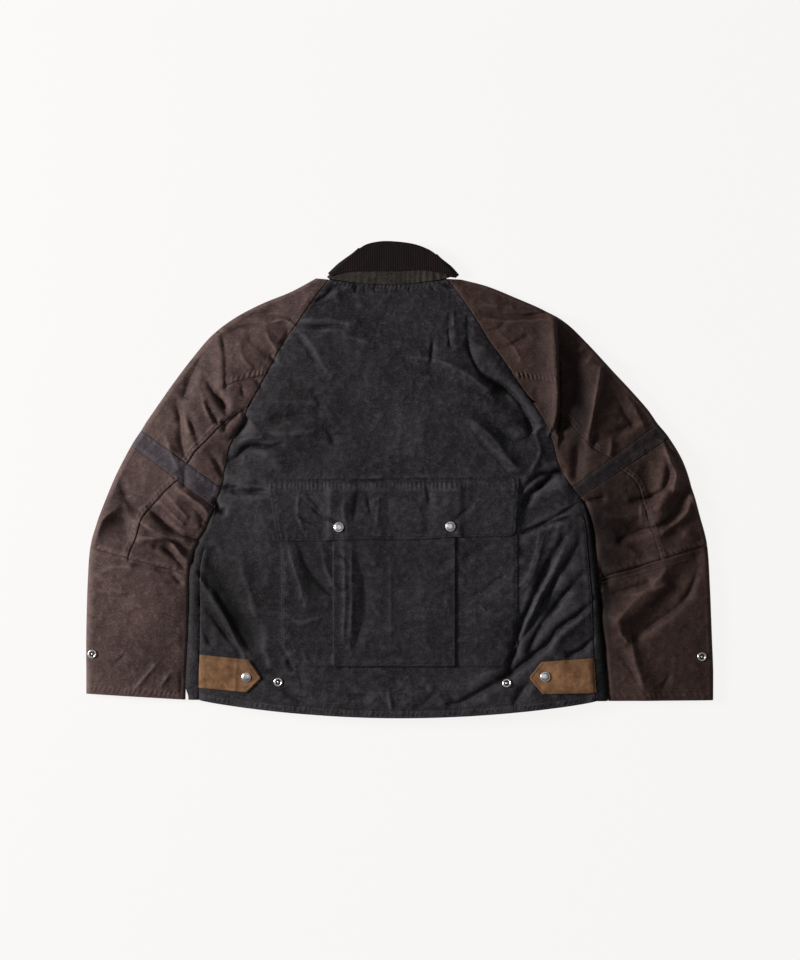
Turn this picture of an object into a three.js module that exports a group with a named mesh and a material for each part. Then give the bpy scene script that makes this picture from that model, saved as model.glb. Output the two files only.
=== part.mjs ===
// A waxed cotton jacket with raglan sleeves, laid face down with its back up and its sleeves beside the body.
// Millimetres: +X to the right of the back, +Y to the neck, +Z up, the underside flat on z = 0.
import * as THREE from "three";

const CLOTH = 1.6;
const CANVAS = 2.0;
const SEAM_GAP = 0.4;
const FLOOR = CLOTH / 2; // the middle of a wall that lies on the surface
const LAYER = CLOTH + 0.5; // from the middle of one laid wall to the middle of the next
const EDGE_BULGE = 7; // how far a side fold rounds out, seen from above
const BODY_GAP = 1.2; // between a sleeve's inner edge and the body at the underarm

// Rows of the sleeve tables at which one piece ends and the next begins.
const WEDGE_START = 6;
const BAND_TOP = 10;
const UNDERARM = 11;
const FOREARM = 15;
const CUFF = 19;

const FINISHES = {
  body: { color: 0x26272a, roughness: 0.62, metalness: 0 },
  sleeve: { color: 0x453733, roughness: 0.6, metalness: 0 },
  band: { color: 0x333238, roughness: 0.62, metalness: 0 },
  stand: { color: 0x35312b, roughness: 0.7, metalness: 0 },
  corduroy: { color: 0x1f1918, roughness: 0.95, metalness: 0 },
  canvas: { color: 0x76583c, roughness: 0.8, metalness: 0 },
  metal: { color: 0xb9b9bb, roughness: 0.28, metalness: 1 },
};

function table(columns, rows) {
  return rows.map((row) => Object.fromEntries(columns.map((name, k) => [name, row[k]])));
}

// Each sleeve, a row for each station from the neck to the cuff. inner is the raglan seam down to the underarm, then
// the edge beside the body; outer is the fold on the far side. innerZ and outerZ are the heights of the upper layer
// there, rise is how much higher it is between them, and seam is how far across the diagonal back seam lies.
const SLEEVE_COLUMNS = ["innerX", "innerY", "outerX", "outerY", "innerZ", "outerZ", "rise", "seam"];
const SLEEVES = {
  left: table(SLEEVE_COLUMNS, [
    [-106, 299, -126, 301, 9, 7, 0, 0],
    [-129, 269, -163, 281, 11, 8, 1, 0],
    [-153, 234, -207, 263, 13, 9, 2, 0],
    [-174, 204, -247, 242, 15, 10, 3, 0],
    [-189, 177, -282, 215, 16, 10, 5, 0],
    [-207, 143, -313, 179, 17, 11, 6, 0],
    [-225, 110, -340, 143, 17, 11, 7, 0.02],
    [-238, 81, -361, 113, 17, 11, 7, 0.18],
    [-254, 48, -375, 93, 16, 11, 7, 0.27],
    [-261, 17, -381, 84, 15, 11, 7, 0.37],
    [-267, -13, -387, 74, 14, 11, 7, 0.42],
    [-278, -42, -402, 51, 13, 11, 7, 0.455],
    [-289, -72, -424, 9, 12, 10, 7, 0.53],
    [-301, -93, -441, -31, 11, 10, 7, 0.6],
    [-310, -117, -454, -67, 11, 10, 7, 0.59],
    [-314.5, -144, -464, -103, 11, 10, 7, 0.62],
    [-315.5, -181, -468, -159, 11, 10, 6, 0.55],
    [-317.5, -241, -470, -234, 11, 10, 5, 0.55],
    [-320, -286, -470, -283, 10, 9, 4, 0.55],
    [-321.5, -330, -470, -321, 9, 8, 3, 0.55],
  ]),
  right: table(SLEEVE_COLUMNS, [
    [71, 300, 93.5, 299, 9, 7, 0, 0],
    [95, 269, 132, 289, 11, 8, 1, 0],
    [116, 237, 174, 272, 13, 9, 2, 0],
    [135, 206, 215, 254, 15, 10, 3, 0],
    [155, 179, 251, 233, 16, 10, 5, 0],
    [174, 150, 282, 203, 17, 11, 6, 0],
    [197, 117, 314, 168, 17, 11, 7, 0.02],
    [215, 89, 344, 136, 17, 11, 7, 0.2],
    [228, 59, 369, 108, 16, 11, 7, 0.26],
    [239, 20, 378, 96, 15, 11, 7, 0.36],
    [258, -12, 387, 83, 14, 11, 7, 0.45],
    [270, -27, 404, 62, 13, 11, 7, 0.478],
    [281, -45, 425, 26, 12, 10, 7, 0.52],
    [287, -66, 438, -12, 11, 10, 7, 0.52],
    [291, -91, 450, -55, 11, 10, 7, 0.53],
    [296, -148, 461, -99, 11, 10, 7, 0.58],
    [300, -181, 465, -159, 11, 10, 6, 0.55],
    [306, -241, 468, -234, 11, 10, 5, 0.55],
    [310, -294, 470, -286, 10, 9, 4, 0.55],
    [313, -332, 470, -331, 9, 8, 3, 0.55],
  ]),
};

// The body below the underarm, a row for each of the sleeves' rows there. gap is the way from a sleeve's inner edge
// to the body, strip is how wide the front shows on the back before the side seam, side is the upper layer's height.
const BODY_COLUMNS = ["leftGap", "rightGap", "leftStrip", "rightStrip", "side"];
const BODY = table(BODY_COLUMNS, [
  [BODY_GAP, BODY_GAP, 1, 1, 13],
  [BODY_GAP, BODY_GAP, 7, 5, 13],
  [BODY_GAP, BODY_GAP, 10, 7, 13.5],
  [BODY_GAP, BODY_GAP, 12, 8, 14],
  [1.5, 1.5, 13, 8, 14],
  [1.8, 1.8, 14, 9, 14],
  [2.2, 2, 15, 13, 14],
  [2.8, 2.4, 16, 15, 13.5],
  [4.5, 3, 16, 15.5, 13],
]);

const NECK_DIP = 8; // the back neck seam below the line between its ends
const HEM_DIP = 26; // the hem's middle below its ends
const CROWN = 9; // the back's middle above its sides
const FRONT_NECK_Y = 215; // the front neckline's lowest point
const FRONT_LAP = 20; // each front past the middle line
const MIDDLE_X = { neck: -18, hem: -4 };

// The collar from its left end to its right one: the roll line at its top and the fall's lower edge on the back.
const COLLAR = table(
  ["rollX", "rollY", "edgeX", "edgeY"],
  [
    [-60, 346, -103, 304],
    [-47, 353, -84, 310],
    [-25, 357, -45, 311.5],
    [0, 356, -6, 311.5],
    [24, 352, 32, 313],
    [44, 344, 62, 308],
    [54, 337, 84, 302],
  ],
);
const FRONT_FALL_Y = 262; // the fall's lower edge at the middle of the front
const STAND_Z = { neck: 9, roll: 11.5 }; // the stand's height at the back
const COLLAR_BULGE = 4;

// The back pocket and its flap. The pocket's middle is a box pleat: the cloth turns back under the raised panel.
const POCKET = { left: -179.5, right: 175.5, top: -26, bottom: -279, pleatLeft: -98.5, pleatRight: 81.5, under: 14 };
const POCKET_CORNER = { across: 21, up: 30 };
const FLAP = { left: -196, right: 178, top: 1, bottom: -90, taper: 14 };

// The tabs, from the side seam to the point. start is beside the side seam.
const TABS = {
  left: { startX: -297.5, topY: -262, shoulderX: -227, tipX: -209, tipY: -296.5, drop: 7, depth: 50 },
  right: { startX: 288.5, topY: -267.5, shoulderX: 212, tipX: 194.5, tipY: -296, drop: 5, depth: 50 },
};
const TAB_TIP = 5;

// Capped snaps on the flap and tabs, and ring studs over the hem and at the cuffs.
const FASTENERS = table(
  ["name", "kind", "on", "x", "y", "leanX"],
  [
    ["snap_flap_left", "snap", "pocket_flap", -91, -71.5, 0],
    ["snap_flap_right", "snap", "pocket_flap", 75.5, -70.5, 0],
    ["snap_tab_left", "snap", "tab_left", -229.5, -296, 0],
    ["snap_tab_right", "snap", "tab_right", 217, -295, 0],
    ["ring_stud_hem_left", "ringStud", "back_panel", -181.5, -303, 0],
    ["ring_stud_hem_right", "ringStud", "back_panel", 160, -304.5, 0],
    ["ring_stud_cuff_left", "ringStud", "sleeve_forearm_left", -460, -261.5, -0.35],
    ["ring_stud_cuff_right", "ringStud", "sleeve_forearm_right", 452, -265.5, 0.12],
  ],
);
const FASTENER_SIDES = 16;
// Each profile is half a section, from the axis at the base round to the axis on top.
const PROFILES = {
  snap: [[0, 0], [6.8, 0], [7.5, 0.7], [7.4, 1.5], [5.8, 2.3], [3, 2.8], [0, 2.9]],
  ringStud: [[0, 0], [6.4, 0], [7, 0.8], [6.2, 2], [4.8, 2.2], [3.5, 1.6], [3.2, 0.7], [1.6, 0.7], [1.4, 1.7], [0, 1.9]],
};

// The largest folds of the upper layer: a straight crest or trough from one end to the other, its half width, and
// its height over the cloth, below it where negative.
const FOLDS = table(
  ["fromX", "fromY", "toX", "toY", "width", "height"],
  [
    // back panel
    [105, 196, 150, 134, 14, -4],
    [150, 134, 198, 75, 14, -4],
    [122, 188, 205, 100, 15, 4],
    [114, 78, 174, 15, 13, 4],
    [-250, 20, -205, 60, 14, -3],
    [-215, 66, -190, 30, 14, 3],
    [240, -12, 182, -16, 14, 4],
    [222, -8, 176, -42, 13, -3],
    [-300, -140, -228, -266, 15, 4],
    [-280, -120, -215, -240, 14, -3],
    [200, -181, 168, -250, 15, 5],
    [168, -250, 92, -342, 15, 4],
    [232, -181, 182, -238, 14, -3],
    [285, -181, 218, -234, 14, 3],
    [-136, 264, -84, 289, 12, 3],
    [-146, 231, -78, 229, 13, 3],
    // left sleeve
    [-267, 215, -262, 149, 14, 4],
    [-390, -67, -297, -92, 14, 5],
    [-370, -41, -298, -88, 12, -3],
    [-387, -90, -313, -124, 13, 5],
    [-328, -26, -284, -48, 13, 4],
    [-429, -48, -458, -79, 14, 4],
    // right sleeve
    [230, 245, 240, 80, 16, 6],
    [299, 160, 282, 58, 15, 5],
    [262, 240, 270, 120, 16, -5],
    [400, 23, 387, -66, 15, 6],
    [384, -66, 352, -80, 14, 4],
    [370, 12, 378, -30, 14, -4],
    [387, -168, 324, -211, 15, 5],
    [324, -211, 368, -314, 15, 4],
    [441, -118, 351, -234, 15, -4],
  ],
);

function smooth(t) {
  const k = Math.min(1, Math.max(0, t));
  return k * k * (3 - 2 * k);
}

function mix(a, b, t) {
  return a + (b - a) * t;
}

// A column of a table between its rows, as a curve through them.
function between(rows, name, t) {
  const row = Math.min(rows.length - 2, Math.max(0, Math.floor(t)));
  const value = (k) => rows[Math.min(rows.length - 1, Math.max(0, k))][name];
  const [a, b, c, d] = [value(row - 1), value(row), value(row + 1), value(row + 2)];
  const k = t - row;
  const bend = 2 * a - 5 * b + 4 * c - d + k * (3 * b - a - 3 * c + d);
  return b + 0.5 * k * (c - a + k * bend);
}

// 1 clear of the pocket and its flap, and 0 under them, where the back has no folds of its own.
function clearOfPocket(x, y) {
  const margin = 14;
  const inside = Math.min(x - FLAP.left, POCKET.right - x, y - POCKET.bottom, FLAP.top - y);
  return 1 - smooth(1 + inside / margin);
}

function foldHeight(x, y) {
  let height = 0;
  for (const fold of FOLDS) {
    const alongX = fold.toX - fold.fromX;
    const alongY = fold.toY - fold.fromY;
    const length = Math.hypot(alongX, alongY);
    const along = ((x - fold.fromX) * alongX + (y - fold.fromY) * alongY) / length;
    const across = ((x - fold.fromX) * alongY - (y - fold.fromY) * alongX) / length;
    const beyond = Math.max(0, -along, along - length);
    height += fold.height * Math.exp(-((across / fold.width) ** 2) - (beyond / (1.3 * fold.width)) ** 2);
  }
  return height * clearOfPocket(x, y);
}

// One closed wall. place(i, j) gives a point of its middle surface and the way its thickness goes; cells lists the
// quads as [i, j], each from row i to i + 1 and column j to j + 1. Columns come round again after columnsAround.
function wall(name, finish, thickness, cells, place, columnsAround = Infinity) {
  const indices = new Map();
  const points = [];
  const ways = [];
  const vertex = (i, j) => {
    const column = j % columnsAround;
    const key = `${i},${column}`;
    if (!indices.has(key)) {
      const { point, way } = place(i, column);
      indices.set(key, points.length);
      points.push(point);
      ways.push(way.clone().normalize());
    }
    return indices.get(key);
  };
  const quads = cells.map(([i, j]) => [vertex(i, j), vertex(i, j + 1), vertex(i + 1, j + 1), vertex(i + 1, j)]);
  const count = points.length;
  const faces = [];
  const rims = new Map();
  for (const [a, b, c, d] of quads) {
    faces.push([a, b, c], [a, c, d], [a + count, c + count, b + count], [a + count, d + count, c + count]);
    for (const [from, to] of [[a, b], [b, c], [c, d], [d, a]]) {
      if (rims.has(`${to},${from}`)) rims.delete(`${to},${from}`);
      else rims.set(`${from},${to}`, [from, to]);
    }
  }
  for (const [from, to] of rims.values()) {
    faces.push([to, from, from + count], [to, from + count, to + count]);
  }
  const upper = points.map((point, k) => point.clone().addScaledVector(ways[k], thickness / 2));
  const lower = points.map((point, k) => point.clone().addScaledVector(ways[k], -thickness / 2));
  return solid(name, finish, upper.concat(lower), faces);
}

function solid(name, finish, points, faces) {
  let volume = 0;
  for (const [a, b, c] of faces) {
    volume += points[a].dot(new THREE.Vector3().crossVectors(points[b], points[c]));
  }
  const outward = volume > 0 ? faces : faces.map(([a, b, c]) => [a, c, b]);
  const geometry = new THREE.BufferGeometry();
  geometry.setAttribute("position", new THREE.Float32BufferAttribute(points.flatMap((p) => p.toArray()), 3));
  geometry.setIndex(outward.flat());
  geometry.computeVertexNormals();
  return named(name, finish, geometry);
}

function named(name, finish, geometry) {
  const mesh = new THREE.Mesh(geometry, new THREE.MeshStandardMaterial(FINISHES[finish]));
  mesh.name = name;
  return mesh;
}

function block(rows, columns) {
  const cells = [];
  for (let i = 0; i < rows; i += 1) {
    for (let j = 0; j < columns; j += 1) cells.push([i, j]);
  }
  return cells;
}

// Stations from one end to the other, perRow to a row of the tables, each end drawn back for half a seam.
function stations(from, to, perRow, trimFrom, trimTo) {
  const count = Math.max(1, Math.round((to - from) * perRow));
  const list = Array.from({ length: count + 1 }, (_, k) => from + ((to - from) * k) / count);
  list[0] += trimFrom;
  list[count] -= trimTo;
  return list;
}

const ROW_TRIM = 0.01; // of a row, which is about half a seam's gap at 20 to 60 mm a row
const UP = new THREE.Vector3(0, 0, 1);

function sleeveRow(side, t) {
  const rows = SLEEVES[side];
  const inner = new THREE.Vector2(between(rows, "innerX", t), between(rows, "innerY", t));
  const outer = new THREE.Vector2(between(rows, "outerX", t), between(rows, "outerY", t));
  const across = outer.clone().sub(inner);
  const width = across.length() - FLOOR;
  across.normalize();
  const value = (name) => between(rows, name, t);
  return { t, inner, across, width, innerZ: value("innerZ"), outerZ: value("outerZ"), rise: value("rise"), value };
}

// The upper layer of a sleeve, a fraction s of the way across. Its sides round over at the folds.
function sleeveTop(row, s) {
  const at = row.inner.clone().addScaledVector(row.across, s * row.width);
  const rise = row.rise * Math.sin(Math.PI * Math.min(1, Math.max(0, s))) ** 0.8;
  const z = FLOOR + mix(row.innerZ, row.outerZ, smooth(s)) + rise + foldHeight(at.x, at.y);
  return new THREE.Vector3(at.x, at.y, z);
}

// A half turn at a side fold: turn 0 is on the upper layer and turn 1 on the one below it.
function roundEdge(top, outward, bulge, turn, lowerZ = FLOOR) {
  const angle = Math.PI * (0.5 - turn);
  const half = (top.z - lowerZ) / 2;
  const point = top.clone().addScaledVector(outward, bulge * Math.cos(angle));
  point.z = lowerZ + half + half * Math.sin(angle);
  const way = outward.clone().multiplyScalar(Math.cos(angle) / bulge);
  way.z = Math.sin(angle) / half;
  return { point, way };
}

const TOP_INNER = 3; // cells from the inner edge to the diagonal seam
const TOP_OUTER = 5; // and from that seam to the outer fold
const EDGE = 4; // cells round a fold
const UNDER = 3; // cells across the underside

// How far across the inner edge's fold reaches: nothing above the underarm, where the sleeve is open to the body.
function innerBulge(t) {
  return t <= UNDERARM ? 0 : EDGE_BULGE * smooth((t - UNDERARM + 0.12) / 0.9) + 0.8;
}

// A point of the sleeve's section. column counts from the inner edge over the top, round the outer fold and back
// along the underside, then up round the inner fold. from is where the piece starts across the top, and seam is
// where the column at the seam lies, both as fractions of the way across.
function sleevePoint(row, column, seam, from = 0) {
  const outward = new THREE.Vector3(row.across.x, row.across.y, 0);
  const bulge = innerBulge(row.t);
  const start = bulge / row.width;
  const end = 1 - EDGE_BULGE / row.width;
  const across = (s) => mix(start, end, s);
  const underside = TOP_INNER + TOP_OUTER + EDGE;
  if (column <= TOP_INNER) {
    return { point: sleeveTop(row, across(mix(from, seam, column / TOP_INNER))), way: UP };
  }
  if (column < TOP_INNER + TOP_OUTER) {
    return { point: sleeveTop(row, across(mix(seam, 1, (column - TOP_INNER) / TOP_OUTER))), way: UP };
  }
  if (column <= underside) {
    const turn = (column - TOP_INNER - TOP_OUTER) / EDGE;
    return roundEdge(sleeveTop(row, end), outward, EDGE_BULGE, turn);
  }
  if (column <= underside + UNDER) {
    const s = mix(end, start + from, (column - underside) / UNDER);
    const point = sleeveTop(row, s).setZ(FLOOR);
    return { point, way: UP.clone().negate() };
  }
  const turn = 1 - (column - underside - UNDER) / EDGE;
  return roundEdge(sleeveTop(row, start), outward.clone().negate(), bulge, turn);
}

const RING = TOP_INNER + TOP_OUTER + EDGE + UNDER + EDGE;

// Above the underarm the sleeve is open along the raglan seam. Its top piece leaves out the wedge beside that seam.
function topSleeve(side) {
  const list = stations(0, BAND_TOP, 2, ROW_TRIM, ROW_TRIM);
  const columns = TOP_OUTER + 2 + EDGE + UNDER;
  const place = (i, j) => {
    const row = sleeveRow(side, list[i]);
    const trim = SEAM_GAP / 2 / row.width;
    const seam = Math.max(0, row.value("seam"));
    const cut = list[i] > WEDGE_START ? seam + trim : trim;
    const topCells = TOP_OUTER + 2;
    if (j < topCells) {
      const end = 1 - EDGE_BULGE / row.width;
      return { point: sleeveTop(row, mix(cut, end, j / topCells)), way: UP };
    }
    return sleevePoint(row, j - topCells + TOP_INNER + TOP_OUTER, 0, trim);
  };
  return wall(`sleeve_top_${side}`, "sleeve", CLOTH, block(list.length - 1, columns), place);
}

function wedge(side) {
  const list = stations(WEDGE_START + 0.5, BAND_TOP, 2, 0, ROW_TRIM);
  const columns = 2;
  const place = (i, j) => {
    const row = sleeveRow(side, list[i]);
    const trim = SEAM_GAP / 2 / row.width;
    const s = mix(trim, row.value("seam") - trim, j / columns);
    return { point: sleeveTop(row, s), way: UP };
  };
  return wall(`sleeve_wedge_${side}`, "sleeve", CLOTH, block(list.length - 1, columns), place);
}

function band(side) {
  const list = stations(BAND_TOP, UNDERARM, 2, ROW_TRIM, ROW_TRIM);
  const columns = RING - EDGE;
  const place = (i, j) => {
    const row = sleeveRow(side, list[i]);
    return sleevePoint(row, j, row.value("seam"), SEAM_GAP / 2 / row.width);
  };
  return wall(`sleeve_band_${side}`, "band", CLOTH, block(list.length - 1, columns), place);
}

// Below the underarm the sleeve is a ring. The elbow piece goes from the diagonal seam round the outer fold and the
// underside to the middle of the inner fold, and the under sleeve closes the ring.
function elbow(side) {
  const list = stations(UNDERARM, FOREARM, 2, ROW_TRIM, ROW_TRIM);
  const place = (i, j) => {
    const row = sleeveRow(side, list[i]);
    const trim = SEAM_GAP / 2 / row.width;
    if (j === 0) return { point: sleeveTopAcross(row, row.value("seam") + trim), way: UP };
    return sleevePoint(row, j + TOP_INNER, row.value("seam"));
  };
  const columns = TOP_OUTER + EDGE + UNDER + EDGE / 2;
  return wall(`sleeve_elbow_${side}`, "sleeve", CLOTH, block(list.length - 1, columns), place);
}

// The upper layer between the two folds of a ring, s from 0 to 1.
function sleeveTopAcross(row, s) {
  const start = innerBulge(row.t) / row.width;
  const end = 1 - EDGE_BULGE / row.width;
  return sleeveTop(row, mix(start, end, s));
}

function underSleeve(side) {
  const list = stations(UNDERARM, FOREARM, 2, ROW_TRIM, ROW_TRIM);
  const half = EDGE / 2;
  const place = (i, j) => {
    const row = sleeveRow(side, list[i]);
    const trim = SEAM_GAP / 2 / row.width;
    if (j === 0) {
      const inner = new THREE.Vector3(-row.across.x, -row.across.y, 0);
      const top = sleeveTop(row, innerBulge(row.t) / row.width);
      return roundEdge(top, inner, innerBulge(row.t), 0.5 - 0.03);
    }
    if (j < half) return sleevePoint(row, RING - half + j, row.value("seam"));
    return { point: sleeveTopAcross(row, mix(0, row.value("seam") - trim, (j - half) / TOP_INNER)), way: UP };
  };
  return wall(`sleeve_under_${side}`, "sleeve", CLOTH, block(list.length - 1, half + TOP_INNER), place);
}

function forearm(side) {
  const list = stations(FOREARM, CUFF, 2, ROW_TRIM, 0);
  const place = (i, j) => {
    const row = sleeveRow(side, list[i]);
    return sleevePoint(row, j, row.value("seam"));
  };
  return wall(`sleeve_forearm_${side}`, "sleeve", CLOTH, block(list.length - 1, RING), place, RING);
}

// The body's edge beside a sleeve, the side seam on the back, and the way from the edge to the other side.
function bodyRow(side, t) {
  const row = sleeveRow(side, t);
  const sign = side === "left" ? 1 : -1;
  if (t <= UNDERARM) {
    return { sign, edge: row.inner, strip: 0, sideZ: row.innerZ, bulge: 0 };
  }
  const lower = t - UNDERARM;
  const gap = between(BODY, `${side}Gap`, lower);
  const strip = between(BODY, `${side}Strip`, lower);
  const edge = row.inner.clone().add(new THREE.Vector2(sign * (gap + FLOOR), 0));
  return { sign, edge, strip, sideZ: between(BODY, "side", lower), bulge: Math.min(EDGE_BULGE, 0.6 * strip) };
}

// The back panel's middle surface: u runs from its left seam to its right one, t down the sleeve tables' rows.
function backPoint(u, t) {
  const [left, right] = [bodyRow("left", t), bodyRow("right", t)];
  const x = mix(left.edge.x + left.strip, right.edge.x - right.strip, u);
  const dip = mix(NECK_DIP, 0, smooth(t / 5)) + HEM_DIP * smooth((t - 12) / (CUFF - 12));
  const y = mix(left.edge.y, right.edge.y, u) - dip * Math.sin(Math.PI * u) ** 0.8;
  const crown = CROWN * smooth(t / 6) * (1 - (2 * u - 1) ** 4);
  const z = FLOOR + mix(left.sideZ, right.sideZ, u) + crown + foldHeight(x, y) * smooth((CUFF - t) / 2);
  return new THREE.Vector3(x, y, z);
}

const BACK_ROWS = stations(0, CUFF, 2, ROW_TRIM, 0);
const BACK_COLUMNS = 22;
const UNDERARM_CLEAR = 0.8; // more of a gap at the underarm, where three pieces meet

// At the underarm the back ends short of the fronts, which start to wrap round the sides there.
function backPlace(i, j) {
  const underarm = BACK_ROWS[i] === UNDERARM;
  const t = underarm ? UNDERARM + ROW_TRIM : BACK_ROWS[i];
  const width = bodyRow("right", t).edge.x - bodyRow("left", t).edge.x;
  const trim = (SEAM_GAP / 2 + (underarm ? UNDERARM_CLEAR : 0)) / width;
  return backPoint(mix(trim, 1 - trim, j / BACK_COLUMNS), t);
}

// The height of the back panel's middle surface, on its own facets.
const backFacets = [];
for (const [i, j] of block(BACK_ROWS.length - 1, BACK_COLUMNS)) {
  const corners = [backPlace(i, j), backPlace(i, j + 1), backPlace(i + 1, j + 1), backPlace(i + 1, j)];
  backFacets.push([corners[0], corners[1], corners[2]], [corners[0], corners[2], corners[3]]);
}

function heightOn(facets, x, y) {
  for (const [a, b, c] of facets) {
    const area = (b.x - a.x) * (c.y - a.y) - (c.x - a.x) * (b.y - a.y);
    const v = ((x - a.x) * (c.y - a.y) - (c.x - a.x) * (y - a.y)) / area;
    const w = ((b.x - a.x) * (y - a.y) - (x - a.x) * (b.y - a.y)) / area;
    if (v >= -1e-6 && w >= -1e-6 && v + w <= 1 + 1e-6) return a.z + v * (b.z - a.z) + w * (c.z - a.z);
  }
  throw new Error(`no cloth under ${x.toFixed(1)}, ${y.toFixed(1)}`);
}

function backPanel() {
  const place = (i, j) => ({ point: backPlace(i, j), way: UP });
  return wall("back_panel", "body", CLOTH, block(BACK_ROWS.length - 1, BACK_COLUMNS), place);
}

// The front neckline, level across the lap and from there up to the ends of the raglan seams.
function frontNeckY(x) {
  const side = x < MIDDLE_X.neck ? SLEEVES.left[0] : SLEEVES.right[0];
  const pastLap = Math.abs(x - MIDDLE_X.neck) - FRONT_LAP;
  const out = Math.max(0, pastLap) / (Math.abs(side.innerX - MIDDLE_X.neck) - FRONT_LAP);
  return mix(FRONT_NECK_Y, side.innerY, Math.min(1, out) ** 1.8);
}

// A front lies on the surface, and below the underarm it wraps round the side to the side seam on the back.
const FRONT_COLUMNS = 6;
const LAP_RAMP = 14; // how far the upper lap takes to come down to the surface

// A front's columns in x: the lap, where it comes down, and even steps on to the side.
function frontX(j, lapX, edgeX) {
  const way = Math.sign(edgeX - lapX);
  const lapEnd = lapX + way * (2 * FRONT_LAP + 2);
  if (j === 0) return lapX;
  if (j === 1) return lapEnd;
  return mix(lapEnd + way * LAP_RAMP, edgeX, (j - 2) / (FRONT_COLUMNS - 2));
}

function front(side) {
  const list = stations(0, CUFF, 2, ROW_TRIM, 0);
  const underarmRow = list.indexOf(UNDERARM);
  const wrap = EDGE + 1;
  const cells = block(list.length - 1, FRONT_COLUMNS);
  for (let i = underarmRow; i < list.length - 1; i += 1) {
    for (let j = FRONT_COLUMNS; j < FRONT_COLUMNS + wrap; j += 1) cells.push([i, j]);
  }
  const liftedColumns = side === "right" ? 1 : -1;
  const lap = side === "left" ? FRONT_LAP : -FRONT_LAP;
  const hemY = SLEEVES.left[CUFF].innerY - HEM_DIP;
  const place = (i, j) => {
    const t = i === underarmRow ? UNDERARM + ROW_TRIM : list[i];
    const row = bodyRow(side, t);
    const bulge = Math.max(0.6, row.bulge);
    const edgeX = row.edge.x + row.sign * (i < underarmRow ? SEAM_GAP / 2 : bulge);
    const sideY = row.edge.y;
    if (j <= FRONT_COLUMNS) {
      const lapX = mix(MIDDLE_X.neck, MIDDLE_X.hem, t / CUFF) + lap;
      const x = frontX(j, lapX, edgeX);
      const out = Math.abs((x - lapX) / (edgeX - lapX)) ** 1.5;
      const y = mix(mix(FRONT_NECK_Y, hemY, downTheBody(t)), sideY, out);
      const neck = frontNeckY(x) - mix(FRONT_NECK_Y, SLEEVES[side][0].innerY, out);
      const z = FLOOR + (j <= liftedColumns ? LAYER : 0);
      return { point: new THREE.Vector3(x, y + neck * (1 - smooth(t / 5)), z), way: UP.clone().negate() };
    }
    const seam = backPoint(side === "left" ? 0 : 1, t);
    if (j <= FRONT_COLUMNS + EDGE) {
      const top = new THREE.Vector3(edgeX, sideY, seam.z);
      return roundEdge(top, new THREE.Vector3(-row.sign, 0, 0), bulge, 1 - (j - FRONT_COLUMNS) / EDGE);
    }
    seam.x -= row.sign * (SEAM_GAP / 2);
    return { point: seam, way: UP };
  };
  return wall(`front_${side}`, "body", CLOTH, cells, place);
}

// How far down the body a table row lies, 0 at the neck and 1 at the hem.
function downTheBody(t) {
  const rows = SLEEVES.left;
  return (rows[0].innerY - between(rows, "innerY", t)) / (rows[0].innerY - rows[CUFF].innerY);
}

// The collar goes round the neck as a flattened ring: along the front under the back, round a side, along the back
// and round the other side. Each station is on a layer, s of the way from left to right, or part of a turn.
function ringStations() {
  const frontCells = 4;
  const backCells = 9;
  const list = [];
  const half = 0.5 - SEAM_GAP / 2 / (SLEEVES.right[0].innerX - SLEEVES.left[0].innerX);
  for (let k = 0; k <= frontCells; k += 1) list.push({ layer: "front", s: half * (1 - k / frontCells) });
  for (let k = 1; k < EDGE; k += 1) list.push({ layer: "turn", s: 0, turn: 1 - k / EDGE });
  for (let k = 0; k <= backCells; k += 1) list.push({ layer: "back", s: k / backCells });
  for (let k = 1; k < EDGE; k += 1) list.push({ layer: "turn", s: 1, turn: k / EDGE });
  for (let k = 0; k <= frontCells; k += 1) list.push({ layer: "front", s: 1 - (half * k) / frontCells });
  return list;
}

// The neck seam, the fall's edge and the roll line at s, on the back or on the front.
function collarLines(layer, s) {
  const at = s * (COLLAR.length - 1);
  const line = (name) => new THREE.Vector2(between(COLLAR, `${name}X`, at), between(COLLAR, `${name}Y`, at));
  const [left, right] = [SLEEVES.left[0], SLEEVES.right[0]];
  const neck = new THREE.Vector2(mix(left.innerX, right.innerX, s), mix(left.innerY, right.innerY, s));
  const bow = Math.sin(Math.PI * s);
  const edge = line("edge");
  const roll = line("roll");
  if (layer === "front") {
    neck.y = frontNeckY(neck.x) + 1.6 * SEAM_GAP;
    edge.set(mix(edge.x, neck.x, bow), mix(edge.y, FRONT_FALL_Y, bow ** 2.5));
    roll.y -= 4 * bow;
  } else {
    neck.y += SEAM_GAP - NECK_DIP * bow ** 0.8;
  }
  neck.y += 1.2 * (1 - bow); // clear of the sleeves' upper ends at the sides
  return { neck, edge, roll };
}

// The height of the stand's middle surface over a point of the collar. On the front it leaves the surface at the
// neckline and goes over the fall.
function standZ(layer, lines, at, s) {
  const up = (at.y - lines.neck.y) / (lines.roll.y - lines.neck.y);
  if (layer === "back") return FLOOR + mix(STAND_Z.neck, STAND_Z.roll, up);
  const beforeFall = 0.5 * (lines.edge.y - lines.neck.y);
  const beside = 1 - smooth((Math.min(s, 1 - s) - 0.12) / 0.15);
  return FLOOR + LAYER * Math.max(beside, smooth((at.y - lines.neck.y) / beforeFall));
}

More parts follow.
